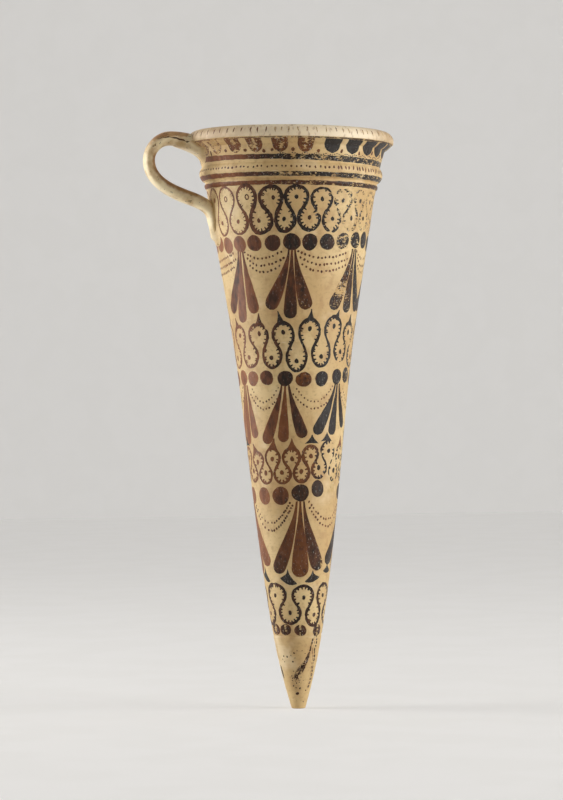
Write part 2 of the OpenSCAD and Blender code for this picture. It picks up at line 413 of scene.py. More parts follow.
# %% The rings of the body
def rising(a, b, step):
    return np.linspace(a, b, max(2, round(abs(b - a) / step)) + 1)


def outer_line(a, b, step=2.0):
    return [(float(wall_r(z)), z) for z in rising(a, b, step)]


def inner_line(a, b, step=3.0):
    return [(float(wall_r(z)) - wall_t, z) for z in rising(a, b, step)]


def thrown(angle, r, z):
    """Finger marks: shallow outside, deeper inside, none on the joins."""
    near = 0.2
    outside = r > wall_r(z) - near
    inside = r < wall_r(z) - wall_t + near
    spiral = 0.26 + 0.16 * np.sin(2 * np.pi * z / 7.5 + angle) + 0.10 * np.sin(2 * np.pi * z / 23 - angle)
    deeper = spiral * between(z, seat_h - 6, seat_h - 16) * between(z, 24, 34)
    return r + np.where(outside, ripple(angle, z), 0) - np.where(inside, deeper, 0), z


pour_r, pour_len, funnel_h, tip_round = 2.0, 14.0, 5.0, 0.8
foot = [(float(wall_r(tip_round)) - tip_round * (1 - math.sin(q)), tip_round * (1 - math.cos(q)))
        for q in np.linspace(0, math.pi / 2, 7)]
tip_section = ([(pour_r, 0)] + foot + outer_line(2 * tip_round, nose_h, 1.5)
               + inner_line(nose_h + scarf_h, pour_len + funnel_h, 2.0)
               + [(pour_r, z) for z in (pour_len, 9, 4)])
place(spun("tip_clay", tip_section, steps=160, shape=thrown), "buff_clay", tip_clay, "pouring_tip")
for node_name, a, b in (("lower_wall", nose_h, middle_h), ("upper_wall", middle_h, broad_z)):
    section = outer_line(a, b) + inner_line(b + scarf_h, a + scarf_h)
    place(spun(node_name + "_clay", section, shape=thrown), "painted_wall", wall_clay, node_name)

# %% [markdown]
# The collar flares out and ends in a hollow seat for the lip. Its section follows the lip's circle
# between the two places where the circle meets the wall, so the two pieces fit with no gap.

# %% The collar
def on_bead(angle):
    return (bead_x + bead_r * math.cos(angle), bead_z + bead_r * math.sin(angle))


inner_meet = next(z for z in np.arange(mouth_h, seat_h, 0.01)
                  if math.dist((float(wall_r(z)) - wall_t, z), (bead_x, bead_z)) < bead_r)
meet_angle = math.atan2(inner_meet - bead_z, float(wall_r(inner_meet)) - wall_t - bead_x)
seat = [on_bead(a) for a in np.linspace(-math.pi / 2, meet_angle, 9)]
collar_section = outer_line(broad_z, mouth_h)[:-1] + seat + inner_line(inner_meet, broad_z + scarf_h)[1:]
place(spun("collar_clay", collar_section, shape=thrown), "painted_wall", wall_clay, "collar_wall")
print("lip seat from z", round(mouth_h, 2), "to", round(inner_meet, 2))

# %% [markdown]
# The lip is a roll of clay with a narrow flat land on top, and the potter has wiped its underside
# flat, so it meets the collar in a slant under one crisp edge. That edge has lost small flakes. The
# roll is spun, and the points near the edge are then pushed in where a slow and a quick wave meet,
# which leaves worn nicks.

# %% The rolled lip
def worn_lip(angle, r, z):
    """Small nicks along the lip's crisp edge."""
    nick_depth, nick_half = 0.28, 0.7
    near = np.exp(-(((z - edge_z) / nick_half) ** 2)) * (r > bead_x + 2)
    waves = np.sin(23 * angle + 1.3 * np.sin(7 * angle)) + np.sin(41 * angle + 2.0) + 0.8 * np.sin(9 * angle)
    return r - nick_depth * np.clip(waves - 0.7, 0, 1.4) * near, z


land = math.acos(land_w / 2 / bead_r)
edge_angle = math.asin(-edge_drop / bead_r)
outer_arc = [on_bead(a) for a in np.linspace(land, edge_angle + 0.1, 26)]
under = [(float(clay_r(0.0, z)), z) for z in np.linspace(edge_z, mouth_h + 0.15, 12)]
inner_arc = [on_bead(a) for a in np.linspace(-math.pi / 2, -math.pi - land, 30)]
lip = spun("lip_clay", outer_arc + under + inner_arc, shape=worn_lip)

# %% [markdown]
# Handling has rubbed the lip paler and pinker than the wall. Its front, toward the camera, is lighter still,
# and that is a painted highlight. The wiped faces under the edge keep the wall's own clay, so they get it as a
# second material.

# %% The lip's finish
f = Finish("rubbed pinkish cream clay of the lip with painted highlight", roughness_range=(0.45, 0.62), bump=(0.5, 0.12))
forward = f.add("ShaderNodeSeparateXYZ", {"Vector": f.place}).outputs["Y"]
lip_colour = f.blotch(seen(190, 162, 124), (213, 188, 150), 7, 0.42, 0.66)
# Painted highlight: the front of the lip, toward the camera, is lightened to pale cream
lip_colour = f.mix(f.band(forward, -0.034, -0.057, 0.9), lip_colour, seen(248, 230, 198))
lip_colour = f.blotch(lip_colour, (176, 138, 98), 2.2, 0.54, 0.70, 0.62, stretch=(1, 1, 2.2), shift=8)
lip_colour = f.blotch(lip_colour, (246, 238, 222), 1.3, 0.66, 0.74, 0.7, detail=2, shift=19)
lip_clay = f.finish(lip_colour, f.noise(5, shift=4), clay_height(f))
wiped = [p.center.z / mm < edge_z - 0.1 and math.hypot(p.center.x, p.center.y) / mm > bead_x
         for p in lip.data.polygons]
place(lip, "buff_clay", lip_clay, "rolled_lip")
lip.data.materials.append(wall_clay)
lip.data.polygons.foreach_set("material_index", [int(flat) for flat in wiped])
print("wiped faces under the lip", sum(wiped))

# %% [markdown]
# The two mouldings are coils pressed on the wall. Each section is the arc that shows, closed by a
# line just inside the wall, so no slit opens between the coil and the wall beneath it.

# %% The mouldings
def coil_section(circle, z, height):
    """The arc of a coil, and a back that lies a little inside the wall and a little short of its ends."""
    sunk, short = 0.25, 0.2
    (cx, cz), radius = circle
    ends = [math.atan2(h - cz, float(wall_r(h)) - cx) for h in (z - height / 2, z + height / 2)]
    arc = [(cx + radius * math.cos(a), cz + radius * math.sin(a)) for a in np.linspace(*ends, 13)]
    back = np.linspace(z + height / 2 - short, z - height / 2 + short, 4)
    return arc + [(float(wall_r(h)) - sunk, h) for h in back]


for node_name, circle, z, height in (("broad_moulding", broad_coil, broad_z, broad_h),
                                     ("narrow_ridge", ridge_coil, ridge_z, ridge_h)):
    place(spun(node_name + "_clay", coil_section(circle, z, height)), "painted_wall", wall_clay, node_name)

# %% [markdown]
# The handle is a strap of clay that was pulled out by hand, looped, and pressed on at both ends. Its
# path lies in one plane through the axis. Four points of a curve lead from each bend to the next,
# and the strap's width and thickness ease from one bend to the next too. A ring of points is
# extruded along that path, which is how it would be drawn out by hand.

# %% The strap's path
def off_wall(drop, out=0.0):
    """A place in the handle's plane, a drop below the lip's land and a distance out from the wall."""
    return np.array([float(wall_r(vessel_h - drop)) + out, vessel_h - drop])


head_at = np.array([bead_x - wall_t, vessel_h - 9])
crown_at = np.array([lip_r + 11.6, vessel_h - 0.5 - 8.2 / 2])
reach_at = np.array([lip_r + 24.2, vessel_h - 17.5])
elbow_at = off_wall(39.2, 12.6)
root_at = off_wall(51)
tail_at = off_wall(67)
tail_dir = (tail_at - root_at) / np.linalg.norm(tail_at - root_at)
# Each bend's place, direction, width and thickness
bends = [(head_at, (0.96, 0.28), 15, 8.6), (crown_at, (1, 0), 13, 8.2), (reach_at, (0, -1), 12.5, 6.4),
         (elbow_at, (-0.94, -0.34), 12.5, 7.8), (root_at, tail_dir, 12, 7), (tail_at, tail_dir, 5, 2.4)]
pull = 0.37
strap_steps = 16
strap_sides = 40
squareness = 2.6


def strap_stations():
    """Stations along the strap: middle point, width and thickness."""
    made = []
    for (a, leave, wa, ta), (b, arrive, wb, tb) in zip(bends, bends[1:]):
        far = pull * np.linalg.norm(b - a)
        p = [a, a + far * np.array(leave), b - far * np.array(arrive), b]
        for t in np.linspace(0, 1, strap_steps + 1)[1 if made else 0:]:
            u = 1 - t
            point = u**3 * p[0] + 3 * u * u * t * p[1] + 3 * u * t * t * p[2] + t**3 * p[3]
            ease = t * t * (3 - 2 * t)
            made.append((point, wa + (wb - wa) * ease, ta + (tb - ta) * ease))
    return made


strap_line = strap_stations()


def heading(i):
    """Direction of the strap at station i."""
    d = strap_line[min(i + 1, len(strap_line) - 1)][0] - strap_line[max(i - 1, 0)][0]
    return d / np.linalg.norm(d)


def bowed(v):
    return math.copysign(abs(v) ** (2 / squareness), v)


def strap_ring(i):
    """Points round station i, from its side round its inner and its outer face."""
    (r, z), width, thick = strap_line[i]
    d = heading(i)
    ring = []
    for j in range(strap_sides):
        q = 2 * math.pi * (j + 0.5) / strap_sides
        face = thick / 2 * bowed(math.sin(q))
        ring.append((-(r + d[1] * face), width / 2 * bowed(math.cos(q)), z - d[0] * face))
    return ring


strap_rings = [strap_ring(i) for i in range(len(strap_line))]
print("strap stations", len(strap_line), "reach", round(-min(p[0] for ring in strap_rings for p in ring), 2))

# %% [markdown]
# A loft is an extrusion whose new ring is moved each time. Every point of the first ring carries its
# number in an attribute, and an extruded point inherits it, so each new point finds its own place.
# The far end of the strap lies within the wall, and a Boolean with a solid of the body trims it, so
# that clay meets clay along one clean line.

# %% Loft and trim the strap
def loft(name, rings):
    """A closed tube through rings of points in millimetres."""
    deselect()
    bpy.ops.mesh.primitive_circle_add(vertices=strap_sides, radius=mm, fill_type="NGON")
    piece = bpy.context.object
    piece.name = name
    bpy.ops.object.mode_set(mode="EDIT")
    edit = bmesh.from_edit_mesh(piece.data)
    spot = edit.verts.layers.int.new("spot")
    for vertex in edit.verts:
        vertex[spot] = vertex.index
    for number, ring in enumerate(rings):
        if number:
            bpy.ops.mesh.extrude_region_move()
            edit = bmesh.from_edit_mesh(piece.data)
            spot = edit.verts.layers.int["spot"]
        for vertex in edit.verts:
            if vertex.select:
                vertex.co = Vector(ring[vertex[spot]]) * mm
        bmesh.update_edit_mesh(piece.data)
    bpy.ops.mesh.select_all(action="SELECT")
    bpy.ops.mesh.normals_make_consistent(inside=False)
    bpy.ops.object.mode_set(mode="OBJECT")
    return piece


def trim(piece, tool):
    """Cuts away what lies inside the tool, which is then removed."""
    cut = piece.modifiers.new("trim", "BOOLEAN")
    cut.operation = "DIFFERENCE"
    cut.solver = "EXACT"
    cut.object = tool
    bpy.context.view_layer.objects.active = piece
    bpy.ops.object.modifier_apply(modifier=cut.name)
    bpy.ops.object.shade_smooth_by_angle(angle=math.radians(35))
    bpy.data.objects.remove(tool)
    print(piece.name, "faces", len(piece.data.polygons))


trim_from = middle_h + 40
body_line = [(float(clay_r(0.0, z)), z) for z in np.arange(trim_from, mouth_h, 0.8)]
body_line += [on_bead(a) for a in np.linspace(-math.pi / 2, math.pi / 2, 25)]
body_solid = spun("body_for_trimming", [(1.0, trim_from)] + body_line + [(1.0, vessel_h)], steps=180)
strap = loft("strap_clay", strap_rings)
trim(strap, body_solid)

# %% [markdown]
# The potter smeared wet clay round both ends of the strap, so that it flows into the wall. A smear
# is a grid laid on the wall round the strap's foot and thickened. Its height is that of a fillet:
# steep where it dives into the strap, and level with the wall at its own margin, where it ends.

# %% Smears of clay at both ends of the strap
handle_side = -math.pi / 2


def smear(name, foot, reach, rise, steep, cells=36):
    """A smear that is rise high round the strap's foot and sinks into the wall at its reach.

    foot gives the strap's footprint on the wall: half its width, its lowest and its highest height.
    reach gives how far the clay spreads beyond it: to each side, up and down.
    """
    half, low, high = foot
    beside, above, below = reach
    margin_depth, back_depth = 0.06, 1.0

    def spread(co):
        across, along, layer = co.T
        u = across * (half + beside)
        z = (low - below + high + above) / 2 + along * (high + above - low + below) / 2
        du = np.maximum(np.abs(u) - half, 0) / beside
        dz = np.maximum(low - z, 0) / below + np.maximum(z - high, 0) / above
        height = rise * (1 - np.clip(np.hypot(du, dz), 0, 1)) ** steep - margin_depth
        base = np.where(z > mouth_h - 1, wall_r(z), clay_r(handle_side, z))
        r = base + np.where(layer > 0.5, height, -back_depth)
        return round_axis(handle_side + u / wall_r(z), r, z)

    piece = thick_grid(cells, cells)
    piece.name = name
    reshape(piece, spread)
    whole_again(60)
    print(name, "faces", len(piece.data.polygons))
    return piece


head_fillet = smear("strap_head_fillet_clay", (4.2, 331, 334), (9.0, 1.0, 13), 14, 3.2)
root_fillet = smear("strap_root_fillet_clay", (1.5, 277, 291), (7.5, 10, 6), 3.3, 2.2)

# %% [markdown]
# The strap is brown where its clay faces up, on top of the upper arm and on the inside of the lower one. That
# brown is mostly painted shade, because these faces turn away from the side lamps, over a thin real wash. Its
# undersides and the outside of its bend stay cream. Each point of the mesh gets a number for how much brown it
# holds, worked out from which way its surface faces and smaller lower down, and the finish mixes its colours by
# it. The number falls below zero close to the wall, where the smears take the colour of the wall itself.

# %% The strap's finish
def lay_wash_and_shade(piece):
    """Writes on each point how much brown it holds, thin wash and painted shade, or how far it merges with the
    wall.
    """
    x, y, z = np.array([v.co for v in piece.data.vertices]).T / mm
    upward = np.array([v.normal for v in piece.data.vertices]) @ np.array([0.5, 0, 0.87])
    loop_middle = 312
    near_collar = between(-x, 56, 61)
    near_wall = between(-x, root_at[0] + 1, root_at[0] + 10)
    # Painted shade: faces that point up and towards the cup turn brown, over a thin real wash
    kept = between(upward, -0.22, 0.38) * np.where(z > loop_middle, near_collar, near_wall)
    # The painted shade is weaker lower on the strap
    lighter_shade_below = 0.78 + 0.22 * between(z, 304, 330)
    stands_out = np.hypot(x, y) - clay_r(handle_side, z)
    wash_and_shade_amounts = kept * lighter_shade_below - between(stands_out, 3.4, 0.4)
    wash_and_shade = piece.data.attributes.new("wash_and_shade", "FLOAT", "POINT")
    wash_and_shade.data.foreach_set("value", wash_and_shade_amounts.astype(np.float32))


f = Finish("clay of the handle with wash and painted shade", roughness_range=(0.42, 0.62), bump=(0.55, 0.14))
wash_and_shade_amount = f.add("ShaderNodeAttribute", attribute_name="wash_and_shade").outputs["Fac"]
ragged = f.sums("ADD", wash_and_shade_amount, f.band(f.noise(4.5, detail=4, shift=6), 0.3, 0.7, 0.4))
rubbed = f.blotch(clay_colour(f, 0.1), (249, 231, 190), 9, 0.30, 0.58)
rubbed = f.mix(f.band(wash_and_shade_amount, -0.9, -0.1), clay_colour(f), rubbed)
# Brown of the thin wash and of the painted shade on the faces that point up
wash_and_shade_brown = f.blotch(seen(160, 116, 72), (188, 148, 98), 6, 0.36, 0.66, detail=4, shift=9)
handle_colour = f.mix(f.band(ragged, 0.38, 1.05), rubbed, wash_and_shade_brown)
handle_colour = f.blotch(handle_colour, (108, 74, 48), 2.4, 0.63, 0.74, 0.6, shift=31)
handle_colour = f.mix(f.speck(2.2, 0.4, 0.35, 0.6), handle_colour, seen(70, 48, 34))
handle_clay = f.finish(handle_colour, f.noise(4, shift=12), clay_height(f))
for piece, node_name in ((strap, "handle_strap"), (head_fillet, "handle_head_fillet"),
                         (root_fillet, "handle_root_fillet")):
    lay_wash_and_shade(piece)
    place(piece, "slipped_handle", handle_clay, node_name)

# %% [markdown]
# The painting is iron-rich slip, brushed on as a thin skin and fired brown, purple and black in
# turn. It could be a mask in the clay's finish, but then its edges would be as soft as the texture.
# Here each brush mark is a real skin about a tenth of a millimetre thick, pressed to the clay. A
# thick grid is made once by its operator, and each mark is a copy of it whose points are laid out
# flat, as on paper, and then wrapped round the cup.

# %% Helpers for flat marks
# The turn of the camera from the plane square to the handle, in degrees
facing = -13.0
stencils = {}


def stencil(rows, cols):
    """Points and faces of a thick grid: across from -1 to 1, along from 0 to 1, layer 0 or 1."""
    if (rows, cols) not in stencils:
        made = thick_grid(cols, rows).data
        points = np.array([v.co for v in made.vertices])
        points[:, 1] = (points[:, 1] + 1) / 2
        stencils[rows, cols] = (points, [tuple(p.vertices) for p in made.polygons])
        bpy.data.meshes.remove(made)
    return stencils[rows, cols]


def to_mm(turn, z):
    """A turn in degrees as a length round the wall at height z."""
    return np.radians(turn) * wall_r(z)


def to_turn(u, z):
    """A length round the wall at height z as a turn in degrees."""
    return np.degrees(u / wall_r(z))


def around_wall(turn, z, u, v):
    """A flat place u across and v up from a turn and height, as a turn and a height."""
    return turn + to_turn(u, z + v), z + v


def unrolled(places):
    """Places laid flat in millimetres, and how far along the line each of them lies."""
    flat = np.stack([to_mm(places[:, 0], places[:, 1]), places[:, 1]], 1)
    return flat, np.concatenate([[0], np.cumsum(np.linalg.norm(np.diff(flat, axis=0), axis=1))])


def at_place(value, *place):
    """A value at a place, where the value may be a number or a function of place."""
    return value(*place) if callable(value) else value


def quiver(u, z, size):
    """The small tremble of a brush, the same for both layers of a mark."""
    a = np.sin(1.9 * u / size + 2.3 * z / size) + np.sin(3.7 * z / size - 1.7 * u / size + 1.3)
    b = np.sin(2.7 * u / size - 1.3 * z / size + 0.5) + np.sin(4.1 * u / size + 3.1 * z / size)
    return 0.05 * size * a, 0.05 * size * b


# %% [markdown]
# A painting gathers many marks into one mesh. Each mark gives its points, its faces and, for every
# point, three numbers of the brush: its tone from brown to black, how worn it is and how much rust
# it shows. The underside of each mark lies a little inside the clay, so no light gets beneath it.

# %% A painting
bedded = 0.05


def write_brush(mesh, values):
    """Writes tone, wear and rust on each point of a mesh."""
    colours = np.column_stack([values, np.ones(len(values))]).astype(np.float32)
    mesh.attributes.new("brush", "FLOAT_COLOR", "POINT").data.foreach_set("color", colours.ravel())


class Painting:
    """Marks of slip gathered into one mesh. Places are a turn in degrees from the front and a height."""

    def __init__(self, name, lift):
        self.name = name
        self.lift = lift
        self.points, self.faces, self.brush = [], [], []
        self.count = 0

    def keep(self, points, brush, faces):
        self.faces += [tuple(self.count + i for i in face) for face in faces]
        self.points.append(points)
        self.brush.append(brush)
        self.count += len(points)

    def add(self, grid, layout, tone, wear=0.2, rust=0.0, tremble=1.0, lift=None):
        """layout(across, along) gives turns and heights. tone, wear and rust may be functions of both too."""
        points, faces = stencil(*grid)
        across, along, layer = points.T
        turn, z = layout(across, along)
        du, dz = quiver(to_mm(turn, z), z, tremble)
        turn, z = turn + to_turn(du, z), z + dz
        angle = np.radians(turn + facing)
        step = 0.05
        slope = (clay_r(angle, z + step) - clay_r(angle, z - step)) / (2 * step)
        out = np.where(layer > 0.5, self.lift if lift is None else lift, -bedded) / np.sqrt(1 + slope**2)
        brush = [at_place(value, across, along) + np.zeros(len(across)) for value in (tone, wear, rust)]
        self.keep(round_axis(angle, clay_r(angle, z) + out, z - out * slope), np.stack(brush, 1), faces)

    def add_on_strap(self, places, width, tone, wear):
        """A line on the side of the strap that faces us. A place is a station and, from -1 to 1, how far in."""
        lift, rust, thin_end = 0.07, 0.2, 0.3
        last = len(places) - 1
        points, faces = stencil(last, 1)
        co = []
        for across, along, layer in points:
            k = int(round(along * last))
            station, inward = places[k]
            (r, z), wide, thick = strap_line[station]
            d = heading(station)
            face = inward * thick / 2 + across * width / 2 * (thin_end if k in (0, last) else 1)
            bow = (1 - min(0.97, abs(face) / (thick / 2)) ** squareness) ** (1 / squareness)
            y = -wide / 2 * bow - (lift if layer > 0.5 else -bedded)
            co.append((-(r + d[1] * face), y, z - d[0] * face))
        self.keep(np.array(co) * mm, np.tile([tone, wear, rust], (len(co), 1)), faces)

    def dry(self, material):
        """Makes the mesh, with every mark's faces turned outwards, and fixes it to the cup."""
        mesh = bpy.data.meshes.new(self.name)
        mesh.from_pydata(np.concatenate(self.points).tolist(), [], self.faces)
        write_brush(mesh, np.concatenate(self.brush))
        piece = bpy.data.objects.new(self.name, mesh)
        bpy.context.collection.objects.link(piece)
        deselect()
        bpy.context.view_layer.objects.active = piece
        piece.select_set(True)
        whole_again(30)
        print(self.name, "faces", len(mesh.polygons))
        place(piece, "dark_slip", material)


# %% [markdown]
# The slip's colour depends on how thick it lies and how the kiln's fire reached it. On this cup it is reddish
# brown on the left, purple-black in front and grey-black on the right, where it has also flaked the most. The
# finish turns the brush's three numbers into colour and breaks them up with noise. Where the slip is worn it
# shows whitish flecks, partly pale flakes and partly painted highlight, small glints of light on the dark slip.

# %% The slip's finish
f = Finish("fired slip", roughness_range=(0.42, 0.60), bump=(0.5, 0.08))
f.shader.inputs["Specular IOR Level"].default_value = 0.2
brush = f.add("ShaderNodeAttribute", attribute_name="brush").outputs["Color"]
brush_tone, brush_wear, brush_rust = f.add("ShaderNodeSeparateColor", {"Color": brush}).outputs
uneven = f.sums("MULTIPLY_ADD", f.noise(2.6, stretch=(1, 1, 2.5), detail=4, shift=2), 0.9, -0.45)
tones = f.add("ShaderNodeValToRGB", {"Fac": f.sums("ADD", brush_tone, uneven)})
stops = [(0.0, (150, 96, 62)), (0.28, (121, 74, 48)), (0.55, (76, 48, 35)), (0.78, (38, 29, 23)),
         (1.0, (54, 50, 48))]
elements = tones.color_ramp.elements
elements.remove(elements[1])
elements[0].color = seen(*stops[0][1])
for at, colour in stops[1:]:
    elements.new(at).color = seen(*colour)
rusty = f.sums("MULTIPLY", brush_rust, f.band(f.noise(2.2, shift=15), 0.30, 0.58))
slip_colour = f.mix(rusty, tones.outputs["Color"], seen(108, 64, 30))
slip_colour = f.blotch(slip_colour, (120, 92, 74), 1.2, 0.60, 0.75, 0.24, stretch=(1, 1, 4), shift=23)
chips = f.sums("MULTIPLY", f.noise(0.9, stretch=(1.9, 1.9, 0.75), detail=4, shift=33), 0.55)
patches = f.sums("MULTIPLY", f.noise(4.2, shift=38), 0.45)
flaked = f.sums("ADD", f.sums("ADD", chips, patches), f.sums("MULTIPLY", brush_wear, 0.46))
bare = f.band(flaked, 0.73, 0.80, 0.92)
slip_colour = f.mix(bare, slip_colour, clay_colour(f))
# Painted highlight with real flaking: whitish glints on the worn slip, stronger where it is more worn
pale_flakes_and_painted_glints = f.band(f.noise(0.8, stretch=(1, 1, 2), detail=2, shift=52), 0.62, 0.69)
shown = f.sums("MINIMUM", f.sums("MULTIPLY", brush_wear, 1.3), 0.75)
slip_colour = f.mix(f.sums("MULTIPLY", pale_flakes_and_painted_glints, shown), slip_colour, seen(206, 198, 188))
slip = f.finish(slip_colour, bare, f.sums("SUBTRACT", f.noise(1.0, shift=9), bare))

# %% [markdown]
# Tone and wear change slowly round the cup, so they are functions of the turn. Only the front is
# known from sight. Round the back the black fades to brown again until it meets the left side.

# %% How the slip changes round the cup
def seen_turn(turn):
    """The same turn between -180 and 180."""
    return (np.asarray(turn, float) + 180) % 360 - 180


def by_turn(turns, values):
    """A value that is given at some turns and eases from one to the next."""
    return lambda turn: np.interp(seen_turn(turn), turns, values)


tone_at = by_turn([-180, -130, -75, -48, -25, 0, 20, 60, 120, 180],
                  [0.70, 0.35, 0.15, 0.22, 0.55, 0.78, 0.82, 0.92, 0.90, 0.70])
wear_at = by_turn([-180, -75, -30, 10, 35, 60, 90, 130, 180],
                  [0.40, 0.15, 0.10, 0.20, 0.50, 0.62, 0.60, 0.45, 0.40])
lower_wear = by_turn([-180, -75, 0, 45, 75, 180], [0.3, 0.12, 0.12, 0.2, 0.45, 0.3])
swag_tone = by_turn([-180, -75, -20, 10, 40, 80, 180], [0.5, 0.25, 0.55, 0.50, 0.42, 0.45, 0.5])
swag_wear = by_turn([-180, -75, 0, 40, 80, 180], [0.3, 0.3, 0.2, 0.35, 0.5, 0.3])
band_tone = by_turn([-180, -75, -35, -12, 10, 40, 80, 180], [0.7, 0.20, 0.28, 0.74, 0.86, 0.98, 0.98, 0.7])
band_wear = by_turn([-180, -75, -30, -5, 20, 60, 110, 180], [0.35, 0.08, 0.22, 0.42, 0.47, 0.44, 0.40, 0.35])

# %% [markdown]
# Each kind of mark is a small function that lays a grid out flat. A disc is squeezed from the grid
# by a circle, a line of slip is a long narrow grid that follows its own points, and a blade starts
# at a point and spreads as it drops. Dots are discs with very few faces. One seeded source of
# chance makes the marks uneven in the same way each time.

# %% Kinds of brush mark
chance = random.Random(340)
large = (10, 8)


def rimmed(tone, thin):
    """The same tone, browner toward the outline, where slip lies thinner. thin is a function of place."""
    return lambda across, along: at_place(tone, across, along) - 0.22 * thin(across, along)


def disc(painting, turn, z, rx, rz, tone, wear=0.2, rust=0.0, grid=large, tilt=0.0, wobble=0.035):
    """An oval with an uneven outline. A large one has a browner rim."""
    phase = chance.uniform(0, 6)

    def layout(across, along):
        a = math.pi * (0.04 + 0.92 * along)
        u, v = np.sin(a) * across, np.cos(a)
        spin = np.arctan2(v, u)
        swell = 1 + wobble * (np.sin(2 * spin + phase) + 0.7 * np.sin(3 * spin - phase))
        u, v = u * rx * swell, v * rz * swell
        tilted_u, tilted_v = u * math.cos(tilt) - v * math.sin(tilt), u * math.sin(tilt) + v * math.cos(tilt)
        return around_wall(turn, z, tilted_u, tilted_v)

    if grid == large:
        tone = rimmed(tone, lambda across, along: np.maximum(np.abs(across), np.abs(2 * along - 1)) ** 8)
    painting.add(grid, layout, tone, wear, rust)


def dot(painting, turn, z, r, tone, wear=0.2, rust=0.0, tall=1.0):
    rx = r * chance.uniform(0.85, 1.15)
    rz = r * tall * chance.uniform(0.85, 1.2)
    tilt = chance.uniform(-0.4, 0.4)
    disc(painting, turn, z, rx, rz, tone, wear, rust, grid=(3, 2), tilt=tilt, wobble=0.08)


def line(painting, places, width, tone, wear=0.2, rust=0.0, ends=0.35):
    """A brush line through places, an array of turns and heights. width is a number or one for each place."""
    places = np.asarray(places, float)
    width = np.broadcast_to(np.asarray(width, float), len(places))
    flow = np.gradient(unrolled(places)[0], axis=0)
    flow /= np.linalg.norm(flow, axis=1)[:, None]
    last = len(places) - 1

    def number(along):
        return np.rint(along * last).astype(int)

    def layout(across, along):
        i = number(along)
        side = across * width[i] / 2 * np.where((i == 0) | (i == last), ends, 1)
        z = places[i, 1] + flow[i, 0] * side
        return places[i, 0] + to_turn(-flow[i, 1] * side, z), z

    def along_line(value):
        return (lambda across, along: value(places[number(along), 0])) if callable(value) else value

    painting.add((last, 1), layout, along_line(tone), along_line(wear), along_line(rust))


def blade(painting, turn, z, lean, drop, shape, tone, wear=0.2, rust=0.0, grid=(10, 6), sag=0.0):
    """A mark that drops from a point. Its foot moves lean across, and shape(along) is its half width."""
    def layout(across, along):
        s = np.sin(0.5 * math.pi * along)
        return around_wall(turn, z, lean * s + across * shape(s), -drop * s - sag * across**2 * s)

    painting.add(grid, layout, tone, wear, rust)


# %% [markdown]
# Four friezes round the cup are one winding line each. The line climbs over a bulb, pinches in, and
# turns under the next bulb, so that bulbs from above and below lock together. It is a wave whose
# sideways position swings back on itself. Every bulb has a dot or a small ring at its heart, and
# those hearts, seen in front and spaced evenly behind, carry the whole frieze.

# %% The winding line
def whole_round(hearts, waves):
    """Hearts of bulbs, upper and lower in turn: those in view, and then evenly on round the back."""
    hidden = 2 * waves - (len(hearts) - 1)
    gap = (hearts[0][0] + 360 - hearts[-1][0]) / hidden
    upper_z = sum(h[1] for h in hearts[::2]) / len(hearts[::2])
    lower_z = sum(h[1] for h in hearts[1::2]) / len(hearts[1::2])
    rest = [(hearts[-1][0] + gap * k, lower_z if k % 2 else upper_z) for k in range(1, hidden)]
    return list(hearts) + rest


def winding_line(hearts, over, under, swing, steps=26):
    """Places along the winding line, and for each place the number of the bulb it goes round."""
    edge = [z + over if k % 2 == 0 else z - under for k, (_, z) in enumerate(hearts)]
    loop = [(t, e) for (t, _), e in zip(hearts, edge)] + [(hearts[0][0] + 360, edge[0])]
    places, bulbs = [], []
    for k, ((t0, z0), (t1, z1)) in enumerate(zip(loop, loop[1:])):
        for u in np.arange(steps) / steps:
            angle = math.pi * u
            turn = t0 + (t1 - t0) * (u + 2 * swing * math.sin(2 * angle))
            wave = (math.cos(angle) + 0.09 * math.cos(3 * angle)) / 1.09
            places.append((turn, (z0 + z1) / 2 + (z0 - z1) / 2 * wave))
            bulbs.append(k if u < 0.5 else (k + 1) % len(hearts))
    return np.array(places + [(places[0][0] + 360, places[0][1])]), bulbs + [0]


def broken(places, gappy):
    """Runs of place numbers, with gaps where the slip has come off."""
    runs, start, i = [], 0, 0
    while i < len(places) - 1:
        if chance.random() < gappy(places[i, 0]):
            runs.append((start, i))
            i += chance.choice((1, 1, 2))
            start = i
        i += 1
    runs.append((start, len(places) - 1))
    return [(a, b) for a, b in runs if b > a]


# %% [markdown]
# Short teeth grow from the line toward the heart of each bulb, at even steps along it. A tooth is
# left out where the line pinches in, and where chance says that it has flaked away.

# %% A frieze
def tooth(painting, turn, z, inward, sideways, tone, wear, rust):
    """A short tooth from a place on the line. inward is its length and sideways half its width, as vectors."""
    def layout(across, along):
        narrower = across * (1 - 0.55 * along**2)
        u, v = np.outer(inward, along) + np.outer(sideways, narrower)
        return around_wall(turn, z, u, v)

    painting.add((2, 1), layout, tone, wear, rust, tremble=0.6, lift=0.045)


